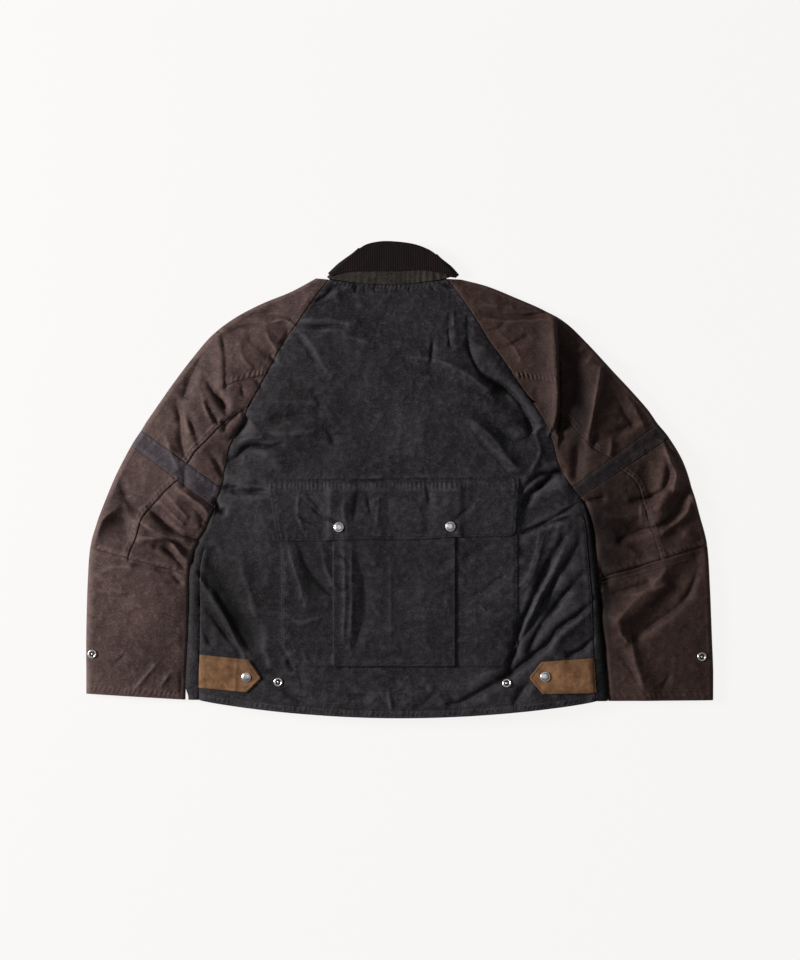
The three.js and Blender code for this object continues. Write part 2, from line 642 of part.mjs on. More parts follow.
// A point of the collar: reach goes from the neck seam, or the fall's edge, to the roll line and beyond it, and lift
// is how far outside the stand it lies.
function collarPoint(station, from, reach, beyond, lift) {
  const put = (layer) => {
    const lines = collarLines(layer, station.s);
    const way = lines.roll.clone().sub(lines[from]);
    const length = way.length();
    way.normalize();
    const at = lines[from].clone().addScaledVector(way, reach * (length - ROLL_DEPTH) + beyond);
    return { at, way, z: standZ(layer, lines, at, station.s) };
  };
  if (station.layer !== "turn") {
    const { at, way, z } = put(station.layer);
    const up = station.layer === "back" ? 1 : -1;
    return { point: new THREE.Vector3(at.x, at.y, z + up * lift), out: new THREE.Vector3(0, 0, up), way };
  }
  const upper = put("back");
  const lower = put("front");
  const across = new THREE.Vector3(upper.way.y, -upper.way.x, 0).multiplyScalar(station.s === 0 ? -1 : 1);
  const top = new THREE.Vector3(upper.at.x, upper.at.y, upper.z + lift);
  const { point, way } = roundEdge(top, across, COLLAR_BULGE + lift, station.turn, lower.z - lift);
  return { point, out: way.normalize(), way: upper.way };
}

const ROLL_DEPTH = 2.2; // from the roll line to where the stand's top edge meets the fall
const ROLL_CELLS = 3;

function collarStand() {
  const ring = ringStations();
  const rows = 3;
  const place = (i, j) => {
    const { point, out } = collarPoint(ring[j], "neck", i / rows, i === rows ? -SEAM_GAP : 0, 0);
    return { point, way: out };
  };
  return wall("collar_stand", "stand", CLOTH, block(rows, ring.length - 1), place);
}

function collarFall() {
  const ring = ringStations();
  const rows = 4;
  const place = (i, j) => {
    if (i <= rows) {
      const { point, out } = collarPoint(ring[j], "edge", i / rows, 0, LAYER);
      return { point, way: out };
    }
    const angle = Math.PI * (0.5 - (i - rows) / ROLL_CELLS);
    const beyond = (LAYER / 2) * Math.cos(angle);
    const { point, out, way } = collarPoint(ring[j], "edge", 1, beyond, (LAYER / 2) * (1 + Math.sin(angle)));
    const turned = new THREE.Vector3(way.x, way.y, 0).multiplyScalar(Math.cos(angle));
    return { point, way: turned.addScaledVector(out, Math.sin(angle)) };
  };
  return wall("collar_fall", "corduroy", CLOTH, block(rows + ROLL_CELLS, ring.length - 1), place);
}

// What lies on the back is made from the back's own facets, level layers further out.
const SEWN_GAP = 0.65; // between the back and a cloth sewn on it

function onBack(x, y, level, thickness = CLOTH) {
  const lift = (CLOTH + thickness) / 2 + SEWN_GAP + level * LAYER;
  return new THREE.Vector3(x, y, heightOn(backFacets, x, y) + lift);
}

// The pocket's section across: runs along a layer, and half turns from one layer to the next. rising is 1 where the
// cloth turns up and -1 where it turns down, and side is where the turn's bend lies.
function pocketSection() {
  const list = [];
  const run = (from, to, level, cells) => {
    for (let k = 0; k <= cells; k += 1) {
      list.push({ x: mix(from, to, k / cells), level, wayX: 0, wayZ: Math.sign(to - from) });
    }
  };
  const turn = (x, level, side, rising) => {
    for (let k = 1; k < ROLL_CELLS; k += 1) {
      const angle = Math.PI * (k / ROLL_CELLS - 0.5);
      const [out, up] = [Math.cos(angle), Math.sin(angle)];
      const at = { x: x + (side * out * LAYER) / 2, level: level + (rising * (1 + up)) / 2 };
      list.push({ ...at, wayX: -rising * out, wayZ: -side * up });
    }
  };
  const { left, right, pleatLeft, pleatRight, under } = POCKET;
  run(left, pleatLeft + under, 0, 4);
  turn(pleatLeft + under, 0, 1, 1);
  run(pleatLeft + under, pleatLeft, 1, 1);
  turn(pleatLeft, 1, -1, 1);
  run(pleatLeft, pleatRight, 2, 6);
  turn(pleatRight, 2, 1, -1);
  run(pleatRight, pleatRight - under, 1, 1);
  turn(pleatRight - under, 1, -1, -1);
  run(pleatRight - under, right, 0, 4);
  return list;
}

function pocket() {
  const section = pocketSection();
  const rows = 9;
  const place = (i, j) => {
    const { x, level, wayX, wayZ } = section[j];
    const toCorner = Math.min(x - POCKET.left, POCKET.right - x);
    const bottom = POCKET.bottom + POCKET_CORNER.up * Math.max(0, 1 - toCorner / POCKET_CORNER.across);
    const y = mix(POCKET.top, bottom, i / rows);
    return { point: onBack(x, y, level), way: new THREE.Vector3(wayX, 0, wayZ) };
  };
  return wall("back_pocket", "body", CLOTH, block(rows, section.length - 1), place);
}

// The flap is sewn to the back along its top and lies over the pocket's pleats and sides. over is how far it has
// climbed onto the raised panel, and down how far it has come away from the seam along its top.
const FLAP_DROP = 19; // from the seam to where the flap lies a full layer out
const FLAP_SLOPE = 5; // how much lower its left bottom corner is than its right one
const FLAP_LEVEL = 0.15; // of a layer, between the flap and what is under it

function flap() {
  const { pleatLeft, pleatRight, right } = POCKET;
  const ramp = { from: 18, over: 13 };
  const rows = [0, 0.1, 0.21, 0.45, 0.72, 1];
  const place = (i, j) => {
    const y = mix(FLAP.top, FLAP.bottom, rows[i]);
    const down = smooth((FLAP.top - y) / FLAP_DROP);
    const left = FLAP.left + FLAP.taper * rows[i];
    const [rampLeft, rampRight] = [pleatLeft - ramp.from, pleatRight + ramp.from];
    const onPanel = [rampLeft + ramp.over, -55, -8, 39, rampRight - ramp.over];
    const x = [left, -150, rampLeft, ...onPanel, rampRight, 140, FLAP.right][j];
    const over = smooth((x - rampLeft) / ramp.over) * smooth((rampRight - x) / ramp.over);
    const edge = y + (rows[i] * FLAP_SLOPE * (x - left)) / (right - left);
    return { point: onBack(x, edge, down * (1 + 2 * over) + FLAP_LEVEL), way: UP };
  };
  return wall("pocket_flap", "body", CLOTH, block(rows.length - 1, 10), place);
}

// A pointed canvas tab from the side seam.
function tab(side) {
  const { startX, topY, shoulderX, tipX, tipY, drop, depth } = TABS[side];
  const rows = 3;
  const columns = 5;
  const place = (i, j) => {
    const down = i / rows;
    const along = j / (columns - 1);
    const x = j < columns ? mix(startX, shoulderX, along) : tipX;
    const edge = mix(topY, topY - drop, along) - depth * down;
    const y = j < columns ? edge : tipY + TAB_TIP * (0.5 - down);
    return { point: onBack(x, y, 0.1, CANVAS), way: UP };
  };
  return wall(`tab_${side}`, "canvas", CANVAS, block(rows, columns), place);
}

// A fastener turned round its own axis, seated clear of the facets that it lies on.
function fastener({ name, kind, on, x, y, leanX }, pieces) {
  const profile = PROFILES[kind].map(([radius, z]) => new THREE.Vector2(radius, z));
  const geometry = new THREE.LatheGeometry(profile, FASTENER_SIDES).rotateX(Math.PI / 2);
  const axis = new THREE.Vector3(leanX, 0, 1).normalize();
  const radius = Math.max(...profile.map((point) => point.x));
  const base = new THREE.Vector3(x, y, 0);
  const height = restHeight(pieces.get(on).geometry, base, axis, radius);
  const mesh = named(name, "metal", geometry);
  mesh.position.copy(base).addScaledVector(axis, height + SEAM_GAP);
  mesh.quaternion.setFromUnitVectors(UP, axis);
  return mesh;
}

// The furthest that a piece reaches along an axis, within a radius of it. Facets further off than nearby are left out.
function restHeight(geometry, base, axis, radius) {
  const steps = 10;
  const nearby = 80;
  const positions = geometry.getAttribute("position");
  const corner = (k) => new THREE.Vector3().fromBufferAttribute(positions, geometry.index.getX(k)).sub(base);
  let highest = -Infinity;
  for (let k = 0; k < geometry.index.count; k += 3) {
    const [a, b, c] = [corner(k), corner(k + 1), corner(k + 2)];
    if (Math.min(a.length(), b.length(), c.length()) > nearby) continue;
    for (let v = 0; v <= steps; v += 1) {
      for (let w = 0; v + w <= steps; w += 1) {
        const point = a.clone().multiplyScalar((steps - v - w) / steps);
        point.addScaledVector(b, v / steps).addScaledVector(c, w / steps);
        const height = point.dot(axis);
        if (point.addScaledVector(axis, -height).length() <= radius) highest = Math.max(highest, height);
      }
    }
  }
  return highest;
}

const jacket = new THREE.Group();
jacket.name = "waxed_cotton_jacket";
jacket.add(backPanel(), collarStand(), collarFall(), pocket(), flap());
for (const side of ["left", "right"]) {
  jacket.add(front(side), topSleeve(side), wedge(side), band(side), elbow(side), underSleeve(side), forearm(side));
  jacket.add(tab(side));
}
const pieces = new Map(jacket.children.map((mesh) => [mesh.name, mesh]));
for (const row of FASTENERS) jacket.add(fastener(row, pieces));

export default jacket;
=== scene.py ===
"""The looks of a waxed cotton jacket lying face down: cloth, stitching, corduroy, canvas tabs and snaps.

Lengths are in millimetres until a mesh is made. +X is to the right of the back, +Y to the neck and +Z up.
"""

import math

import bmesh
import bpy
import numpy as np
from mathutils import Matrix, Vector


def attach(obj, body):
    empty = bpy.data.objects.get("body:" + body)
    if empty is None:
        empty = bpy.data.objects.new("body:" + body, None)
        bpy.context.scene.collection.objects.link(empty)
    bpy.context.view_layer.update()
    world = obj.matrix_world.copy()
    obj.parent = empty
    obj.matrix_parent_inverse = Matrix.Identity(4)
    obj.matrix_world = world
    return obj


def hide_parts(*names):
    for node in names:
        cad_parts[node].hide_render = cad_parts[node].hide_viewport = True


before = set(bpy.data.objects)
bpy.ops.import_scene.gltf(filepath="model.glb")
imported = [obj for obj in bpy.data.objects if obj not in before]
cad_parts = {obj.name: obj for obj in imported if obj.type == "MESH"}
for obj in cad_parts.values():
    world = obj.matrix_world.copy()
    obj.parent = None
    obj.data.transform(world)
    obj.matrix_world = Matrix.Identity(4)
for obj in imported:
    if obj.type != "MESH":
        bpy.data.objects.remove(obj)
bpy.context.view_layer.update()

# The sizes of the solids that the cloth follows.
CLOTH = 1.6
SEAM_GAP = 0.4
FLOOR = CLOTH / 2
LAYER = CLOTH + 0.5
EDGE_BULGE = 7
BODY_GAP = 1.2
WEDGE_START, BAND_TOP, UNDERARM, FOREARM, CUFF = 6, 10, 11, 15, 19
ROW_TRIM = 0.01

# Each sleeve, from the neck to the cuff: innerX, innerY, outerX, outerY, innerZ, outerZ, rise, seam.
SLEEVES = {
    "left": [
        (-106, 299, -126, 301, 9, 7, 0, 0),
        (-129, 269, -163, 281, 11, 8, 1, 0),
        (-153, 234, -207, 263, 13, 9, 2, 0),
        (-174, 204, -247, 242, 15, 10, 3, 0),
        (-189, 177, -282, 215, 16, 10, 5, 0),
        (-207, 143, -313, 179, 17, 11, 6, 0),
        (-225, 110, -340, 143, 17, 11, 7, 0.02),
        (-238, 81, -361, 113, 17, 11, 7, 0.18),
        (-254, 48, -375, 93, 16, 11, 7, 0.27),
        (-261, 17, -381, 84, 15, 11, 7, 0.37),
        (-267, -13, -387, 74, 14, 11, 7, 0.42),
        (-278, -42, -402, 51, 13, 11, 7, 0.455),
        (-289, -72, -424, 9, 12, 10, 7, 0.53),
        (-301, -93, -441, -31, 11, 10, 7, 0.6),
        (-310, -117, -454, -67, 11, 10, 7, 0.59),
        (-314.5, -144, -464, -103, 11, 10, 7, 0.62),
        (-315.5, -181, -468, -159, 11, 10, 6, 0.55),
        (-317.5, -241, -470, -234, 11, 10, 5, 0.55),
        (-320, -286, -470, -283, 10, 9, 4, 0.55),
        (-321.5, -330, -470, -321, 9, 8, 3, 0.55),
    ],
    "right": [
        (71, 300, 93.5, 299, 9, 7, 0, 0),
        (95, 269, 132, 289, 11, 8, 1, 0),
        (116, 237, 174, 272, 13, 9, 2, 0),
        (135, 206, 215, 254, 15, 10, 3, 0),
        (155, 179, 251, 233, 16, 10, 5, 0),
        (174, 150, 282, 203, 17, 11, 6, 0),
        (197, 117, 314, 168, 17, 11, 7, 0.02),
        (215, 89, 344, 136, 17, 11, 7, 0.2),
        (228, 59, 369, 108, 16, 11, 7, 0.26),
        (239, 20, 378, 96, 15, 11, 7, 0.36),
        (258, -12, 387, 83, 14, 11, 7, 0.45),
        (270, -27, 404, 62, 13, 11, 7, 0.478),
        (281, -45, 425, 26, 12, 10, 7, 0.52),
        (287, -66, 438, -12, 11, 10, 7, 0.52),
        (291, -91, 450, -55, 11, 10, 7, 0.53),
        (296, -148, 461, -99, 11, 10, 7, 0.58),
        (300, -181, 465, -159, 11, 10, 6, 0.55),
        (306, -241, 468, -234, 11, 10, 5, 0.55),
        (310, -294, 470, -286, 10, 9, 4, 0.55),
        (313, -332, 470, -331, 9, 8, 3, 0.55),
    ],
}
INNER_X, INNER_Y, OUTER_X, OUTER_Y, INNER_Z, OUTER_Z, RISE, SEAM = range(8)

# The body below the underarm: leftGap, rightGap, leftStrip, rightStrip, side.
BODY = [
    (BODY_GAP, BODY_GAP, 1, 1, 13),
    (BODY_GAP, BODY_GAP, 7, 5, 13),
    (BODY_GAP, BODY_GAP, 10, 7, 13.5),
    (BODY_GAP, BODY_GAP, 12, 8, 14),
    (1.5, 1.5, 13, 8, 14),
    (1.8, 1.8, 14, 9, 14),
    (2.2, 2, 15, 13, 14),
    (2.8, 2.4, 16, 15, 13.5),
    (4.5, 3, 16, 15.5, 13),
]
NECK_DIP, HEM_DIP, CROWN = 8, 26, 9
FRONT_NECK_Y, FRONT_LAP = 215, 20
MIDDLE_NECK_X, MIDDLE_HEM_X = -18, -4

# The collar from left to right: rollX, rollY, edgeX, edgeY.
COLLAR = [
    (-60, 346, -103, 304),
    (-47, 353, -84, 310),
    (-25, 357, -45, 311.5),
    (0, 356, -6, 311.5),
    (24, 352, 32, 313),
    (44, 344, 62, 308),
    (54, 337, 84, 302),
]
FRONT_FALL_Y = 262
STAND_Z = (9, 11.5)
COLLAR_BULGE = 4
ROLL_DEPTH = 2.2

# The pocket with its cut lower corners, and the flap.
POCKET = {"left": -179.5, "right": 175.5, "top": -26, "bottom": -279, "pleat": (-98.5, 81.5), "under": 14}
POCKET_CORNER = (21, 30)
FLAP = {"left": -196, "right": 178, "top": 1, "bottom": -90, "taper": 14}

# Folds of the solids: from, to, half width and height.
FOLDS = [
    (105, 196, 150, 134, 14, -4),
    (150, 134, 198, 75, 14, -4),
    (122, 188, 205, 100, 15, 4),
    (114, 78, 174, 15, 13, 4),
    (-250, 20, -205, 60, 14, -3),
    (-215, 66, -190, 30, 14, 3),
    (240, -12, 182, -16, 14, 4),
    (222, -8, 176, -42, 13, -3),
    (-300, -140, -228, -266, 15, 4),
    (-280, -120, -215, -240, 14, -3),
    (200, -181, 168, -250, 15, 5),
    (168, -250, 92, -342, 15, 4),
    (232, -181, 182, -238, 14, -3),
    (285, -181, 218, -234, 14, 3),
    (-136, 264, -84, 289, 12, 3),
    (-146, 231, -78, 229, 13, 3),
    (-267, 215, -262, 149, 14, 4),
    (-390, -67, -297, -92, 14, 5),
    (-370, -41, -298, -88, 12, -3),
    (-387, -90, -313, -124, 13, 5),
    (-328, -26, -284, -48, 13, 4),
    (-429, -48, -458, -79, 14, 4),
    (230, 245, 240, 80, 16, 6),
    (299, 160, 282, 58, 15, 5),
    (262, 240, 270, 120, 16, -5),
    (400, 23, 387, -66, 15, 6),
    (384, -66, 352, -80, 14, 4),
    (370, 12, 378, -30, 14, -4),
    (387, -168, 324, -211, 15, 5),
    (324, -211, 368, -314, 15, 4),
    (441, -118, 351, -234, 15, -4),
]

# Creases laid over those folds. Each row is the half width on the west side and on the east side, or south
# and north where it runs level, then the height, and the points along it.
CREASES = [
    # Back, round the neck
    (5, 5, -2.2, (-132, 264), (-114, 272), (-99, 286), (-82, 291)),
    (4, 4, -1, (-139, 255), (-123, 260), (-99, 267)),
    (3.5, 3.5, -1.9, (-147, 229), (-123, 227), (-103, 229), (-81, 227)),
    (6, 6, 0.9, (-150, 237), (-123, 237), (-105, 237)),
    (7, 7, 0.7, (-135, 212), (-105, 215), (-75, 212), (-42, 201)),
    (5, 9, 0.7, (-151, 221), (-136, 206), (-123, 186), (-108, 159)),
    (4, 4, -0.9, (-156, 218), (-141, 200), (-127, 179)),
    (2.5, 2.5, -0.9, (-64, 291), (-66, 282)),
    (2.5, 2.5, -0.7, (-52, 290), (-52, 279)),
    (2.5, 3, -0.8, (-36, 290), (-37, 284)),
    (3, 3, -0.7, (-18, 288), (-18, 281)),
    (2.5, 2.5, -0.6, (14, 290), (15, 282)),
    (2.5, 2.5, -0.5, (47, 293), (50, 285)),
    (3, 3, -1.2, (66, 291), (81, 288)),
    (3, 3, -0.6, (74, 249), (73, 218)),
    (3.5, 3.5, 0.6, (80, 257), (80, 233)),
    (4, 4, 0.4, (111, 245), (109, 217)),
    (3, 3, -1.1, (73, 221), (75, 200)),
    (3.5, 3.5, -1.3, (50, 207), (47, 176)),
    # Back, the valley down to the right underarm and the ridges below it
    (3, 4, -1.4, (101, 242), (103, 204), (109, 179), (120, 161), (136, 148), (157, 136), (173, 122)),
    (6, 5, -3.1, (127, 154), (157, 136), (174, 121), (186, 102), (195, 80), (195, 71)),
    (9, 9, 0.3, (119, 182), (134, 167), (153, 153), (171, 140), (189, 123), (203, 99), (207, 78)),
    (6, 6, 1.4, (23, 182), (60, 176), (93, 161), (132, 135)),
    (7, 7, -1.2, (18, 164), (60, 155), (99, 141), (129, 125)),
    (3, 3, 0.9, (110, 86), (129, 71), (147, 53), (162, 30), (179, 14)),
    (6, 6, -1.2, (116, 96), (135, 87), (155, 69), (176, 57), (195, 63)),
    (3, 3, -1, (105, 77), (120, 57), (141, 36), (158, 17)),
    (5, 5, 1.8, (180, 77), (195, 69), (212, 78)),
    (4, 4, 1.2, (203, 65), (210, 41), (198, 14)),
    (4, 4, -3.2, (195, -23), (217, -5), (234, 10), (242, 10)),
    (4, 4, -2.4, (239, 11), (207, 5), (182, -17)),
    (4, 4, -2, (224, 3), (203, -16), (184, -39)),
    (3.5, 3.5, -1.6, (184, -38), (189, -24), (210, -11)),
    (2.5, 2.5, -1.7, (184, -80), (218, -64), (263, -39)),
    (2.5, 2.5, -1.6, (184, -80), (222, -67), (255, -57)),
    (5, 5, -2.5, (276, -32), (288, -31), (302, -29)),
    # Back, the left underarm and the open middle
    (4, 6, -3, (-233, 99), (-230, 88), (-242, 69)),
    (8, 10, -2.2, (-229, 92), (-195, 88), (-156, 95), (-123, 97)),
    (7, 7, 0.5, (-222, 111), (-172, 116), (-127, 114)),
    (7, 7, 1.1, (-216, 71), (-172, 68), (-132, 72)),
    (4, 4, -2.8, (-256, 28), (-243, 33), (-232, 45), (-216, 50), (-195, 48), (-177, 51)),
    (5, 5, 1.2, (-247, 48), (-231, 59), (-207, 62)),
    (3, 3, -1.4, (-256, 59), (-246, 65), (-237, 77)),
    (4, 4, -2.2, (-265, -11), (-247, -13)),
    (5, 5, -2.2, (-258, -18), (-232, -19), (-204, -18)),
    (4, 4, -4, (-275, -31), (-273, -44), (-265, -48)),
    (4, 5, -1.1, (-128, 130), (-120, 112)),
    (6, 7, -1.1, (-113, 85), (-99, 57)),
    # Back, the lower left
    (5, 4, 1.8, (-306, -138), (-289, -162), (-270, -192), (-256, -214), (-244, -244), (-232, -264)),
    (4, 8, -1.6, (-299, -133), (-282, -156), (-265, -184), (-255, -204), (-238, -233), (-226, -253)),
    (3, 3, -0.6, (-310, -121), (-297, -142), (-285, -163)),
    (8, 8, 1.2, (-240, -121), (-228, -159), (-217, -199)),
    (4.5, 4.5, -2.6, (-298, -181), (-279, -204), (-265, -225), (-244, -251), (-238, -265)),
    (5, 5, -1.6, (-296, -220), (-284, -244)),
    (4, 5, -1.1, (-171, -262), (-166, -271), (-160, -283)),
    (5, 5, -0.7, (-152, -282), (-146, -305)),
    (4, 4, -1.3, (-203, -285), (-184, -291)),
    (5, 5, -1.6, (-180, -311), (-157, -326), (-138, -331)),
    (8, 8, 1.6, (-207, -244), (-195, -274)),
    (5, 5, -1.3, (-86, -321), (-69, -324), (-50, -325)),
    (3, 3, 1, (-17, -319), (-13, -342)),
    # Back, the long diagonals at the lower right
    (5, 6, -4.2, (245, -87), (221, -130), (203, -168), (189, -200), (177, -228), (169, -258), (163, -285)),
    (4.5, 4.5, 1.6, (253, -88), (231, -134), (219, -158), (207, -180), (195, -208), (181, -238)),
    (4, 4, -2.7, (270, -90), (258, -114), (234, -150), (226, -164), (218, -180), (198, -214), (180, -242)),
    (4, 4, -2.4, (276, -140), (252, -166), (234, -188), (210, -222), (198, -244), (192, -258)),
    (5, 5, -2.7, (292, -180), (264, -204), (236, -224), (222, -244), (198, -264), (165, -291)),
    (7, 7, -3, (180, -279), (164, -291), (136, -309), (96, -331), (75, -337)),
    (6, 6, 1.1, (294, -190), (266, -214), (240, -235), (222, -259)),
    (3.5, 4, -2.4, (291, -236), (272, -254), (252, -264)),
    (6, 6, -2, (192, -304), (182, -318), (174, -331)),
    (2.5, 2.5, 1, (208, -84), (202, -114), (192, -144), (176, -162)),
    (2.5, 2.5, 0.9, (214, -85), (207, -115), (198, -145), (182, -165)),
    (4, 4, -0.7, (176, -94), (182, -106), (188, -112)),
    (7, 7, -1.5, (57, -313), (45, -328), (30, -339)),
    # Pocket
    (4, 14, 1.8, (-168, -93), (-160, -121), (-150, -151), (-145, -175)),
    (5, 5, -1.3, (-150, -99), (-139, -129), (-121, -154), (-102, -172)),
    (6, 6, 1.1, (-117, -99), (-111, -130), (-100, -154)),
    (5, 5, 0.8, (-171, -199), (-150, -214), (-123, -208)),
    (9, 8, -1.4, (-66, -93), (-62, -119), (-53, -154), (-52, -190), (-59, -227), (-65, -246)),
    (4, 4, 0.8, (-85, -99), (-82, -166), (-85, -241)),
    (3, 3, 0.7, (-73, -99), (-72, -181), (-75, -253)),
    (3, 3, -0.7, (-93, -109), (-79, -121)),
    (3, 3, -0.7, (-93, -169), (-78, -163)),
    (3, 3, -0.6, (-94, -211), (-79, -222)),
    (3, 3, 0.4, (-14, -118), (-14, -256)),
    (6, 6, -0.9, (96, -180), (120, -170), (144, -152), (156, -144)),
    (6, 6, -0.8, (86, -124), (105, -114), (128, -102)),
    (6, 6, -0.8, (56, -128), (75, -120)),
    (7, 7, -0.9, (57, -176), (75, -168)),
    (4, 4, 0.8, (-100, -259), (-99, -271)),
    # Flap
    (1.8, 1.8, -0.9, (-195, -3), (-120, -3), (-30, -2), (60, -1), (150, 0), (174, 1)),
    (7, 6, -1.3, (-62, -10), (-64, -32), (-67, -55)),
    (6, 6, 0.8, (-81, -19), (-84, -49), (-79, -76)),
    (3, 3, -0.9, (-49, -22), (-43, -49)),
    (3, 3, 0.7, (-150, -19), (-153, -49), (-145, -73)),
    (3, 3, -0.8, (-175, -43), (-150, -55), (-123, -70)),
    (4, 4, 0.6, (-30, -24), (-36, -73)),
    (4, 4, -1, (39, -8), (45, -30)),
    (9, 9, -0.7, (-17, -16), (-17, -76)),
    (9, 9, -1, (44, -16), (41, -76)),
    (2.2, 3, -1.5, (-136, -39), (-116, -55), (-100, -62), (-91, -65)),
    (4, 4, -1, (-138, -19), (-130, -31), (-121, -43)),
    (3.5, 3.5, -1, (80, -64), (93, -51), (106, -43)),
    # Left sleeve, over the shoulder
    (7, 8, -2.3, (-256, 236), (-234, 243), (-209, 247), (-183, 248), (-165, 242), (-157, 233)),
    (3, 3, 1.3, (-199, 233), (-175, 238), (-163, 235), (-157, 228)),
    (5, 7, -2.1, (-268, 224), (-262, 193), (-260, 167), (-260, 137)),
    (8, 8, -1.5, (-225, 224), (-222, 207), (-206, 193), (-194, 182)),
    (4, 4, 1.1, (-201, 224), (-194, 207), (-184, 194)),
    (3, 3, -1.2, (-253, 221), (-234, 228), (-207, 231)),
    (4, 4, 0.9, (-240, 201), (-235, 182), (-223, 167)),
    (4, 4, -1.3, (-169, 229), (-168, 217), (-175, 204)),
    (4, 4, -1.5, (-195, 190), (-189, 178)),
    (8, 7, -2.8, (-295, 190), (-307, 164), (-314, 149), (-321, 128)),
    (5, 5, -3.4, (-290, 149), (-278, 131), (-262, 109)),
    (4, 4, -2, (-271, 125), (-262, 108), (-260, 98)),
    (2.5, 3, -2.4, (-288, 112), (-282, 97), (-273, 83)),
    (4, 4, 1.6, (-295, 125), (-290, 107), (-280, 87)),
    (6, 6, -2.6, (-334, 116), (-328, 86), (-326, 53), (-319, 33)),
    (4, 4, -2, (-315, 94), (-306, 69), (-301, 53)),
    (4, 4, 1.6, (-321, 92), (-313, 71)),
    (4, 4, -2, (-236, 101), (-249, 92), (-257, 83)),
    (3, 3, -2.6, (-264, 87), (-261, 74)),
    (4, 4, -1.8, (-285, 42), (-275, 27), (-265, 5)),
    (4, 4, -1.2, (-237, 141), (-234, 129)),
    (4, 4, -1.3, (-216, 149), (-207, 137)),
    (5, 5, -1.3, (-321, 23), (-322, -7)),
    (6, 6, 1.5, (-348, 59), (-340, 36), (-333, 20)),
    # Left sleeve, under the band
    (4, 4, 1.5, (-357, -36), (-340, -53), (-325, -66)),
    (4, 4, 1.2, (-349, -23), (-332, -41), (-319, -56)),
    (4, 4, 2, (-331, -14), (-316, -25), (-307, -31), (-295, -40), (-286, -53)),
    (5, 5, -2, (-325, -31), (-307, -43), (-294, -61)),
    (6, 5, -4.6, (-374, -44), (-359, -59), (-342, -74), (-320, -85), (-301, -89)),
    (4.5, 4.5, 2.8, (-386, -64), (-368, -76), (-346, -85), (-329, -89), (-306, -93)),
    (4, 4, -2.8, (-384, -71), (-368, -83), (-346, -92), (-329, -97), (-316, -105)),
    (3.5, 3.5, 3, (-388, -91), (-372, -88), (-355, -89), (-340, -96), (-329, -109), (-320, -120),
     (-314, -124)),
    (6, 6, -4.6, (-363, -101), (-346, -107), (-329, -125), (-322, -133)),
    (4, 4, -2, (-297, -66), (-292, -79)),
    (8, 7, 3.4, (-427, -45), (-444, -61), (-459, -79)),
    (8, 8, -2.4, (-417, -10), (-406, -33), (-394, -44)),
    (9, 8, -2.2, (-414, -52), (-408, -79)),
    (9, 9, 2, (-438, -31), (-432, -9), (-420, 11)),
    # Left forearm
    (6, 6, -1.7, (-415, -126), (-376, -132), (-342, -138)),
    (4, 4, -1, (-428, -279), (-415, -266)),
    (3.5, 3.5, 1, (-359, -270), (-376, -290), (-394, -311)),
    (3.5, 3.5, 0.9, (-342, -287), (-357, -309)),
    (5, 5, -0.6, (-447, -177), (-409, -174)),
    (4, 4, -2.2, (-340, -141), (-330, -153)),
    (3, 5, -2, (-322, -277), (-325, -300), (-328, -320)),
    (7, 7, 1, (-450, -141), (-432, -132), (-405, -130)),
    (9, 9, -0.8, (-420, -211), (-397, -199), (-375, -196)),
    # Right sleeve, over the shoulder
    (7, 4, -2.6, (123, 249), (150, 245), (180, 244), (210, 247), (231, 249)),
    (3, 3, 1.3, (129, 240), (158, 236), (195, 237), (227, 240)),
    (5, 5, 0.8, (105, 264), (135, 260), (168, 257)),
    (4, 4, -0.9, (129, 221), (146, 224), (159, 236)),
    (4, 4, 0.8, (150, 216), (168, 201), (180, 179)),
    (12, 2.5, 3, (230, 240), (233, 211), (235, 176), (236, 142), (234, 100), (228, 78)),
    (3, 15, -7.5, (237, 230), (240, 194), (241, 152), (242, 111), (239, 71)),
    (3, 3, 2.8, (300, 165), (298, 149), (293, 124), (287, 92), (281, 60)),
    (4, 4, -1.6, (309, 164), (305, 131), (297, 95)),
    (4, 4, 1, (267, 189), (276, 200)),
    (4, 4, 1, (278, 173), (288, 186)),
    (5, 5, -1.2, (153, 194), (171, 203), (188, 212)),
    (4, 4, -2, (296, 68), (290, 51)),
    (5, 5, -2.2, (320, 71), (333, 74), (346, 80)),
    (3, 4, 1.6, (317, 63), (314, 37)),
    (11, 11, -5, (270, 59), (266, 32), (264, 8)),
    (7, 7, 1.4, (338, 126), (351, 107), (363, 83)),
    (8, 8, -1.4, (324, 122), (336, 101), (345, 86)),
    # Right sleeve, under the band
    (6, 6, 3.6, (394, 54), (404, 29), (414, 8), (411, -13)),
    (6, 6, -3.6, (417, 29), (430, 1), (430, -17), (413, -50), (387, -70), (357, -78), (331, -91)),
    (5, 5, 2.4, (436, -22), (431, -48), (410, -68), (394, -80)),
    (6, 6, -3.3, (399, 30), (402, 8), (394, -15), (375, -27), (351, -32)),
    (10, 10, 3.2, (357, -49), (372, -48), (386, -42)),
    (22, 26, -4.5, (345, -49), (351, -84), (354, -121)),
    (8, 8, 1.6, (300, -49), (318, -55), (339, -55)),
    (7, 7, 1.6, (303, -99), (327, -103), (351, -111)),
    (7, 6, -3.4, (290, -121), (300, -135), (309, -151)),
    (9, 9, 1.8, (420, -76), (435, -87)),
    # Right forearm
    (7, 5, -1.9, (444, -115), (446, -133), (434, -169), (414, -192), (389, -210), (368, -225), (356, -238)),
    (7, 7, 1.2, (384, -121), (396, -136), (377, -159), (348, -184), (327, -211)),
    (5, 5, 1.3, (339, -174), (369, -169), (397, -159)),
    (5, 5, -2, (324, -169), (348, -163), (372, -156)),
    (5, 5, 1.2, (344, -225), (349, -258), (359, -296), (364, -311)),
    (4, 4, -1.6, (329, -259), (345, -283), (355, -303)),
    (4, 4, -1.1, (392, -316), (402, -296)),
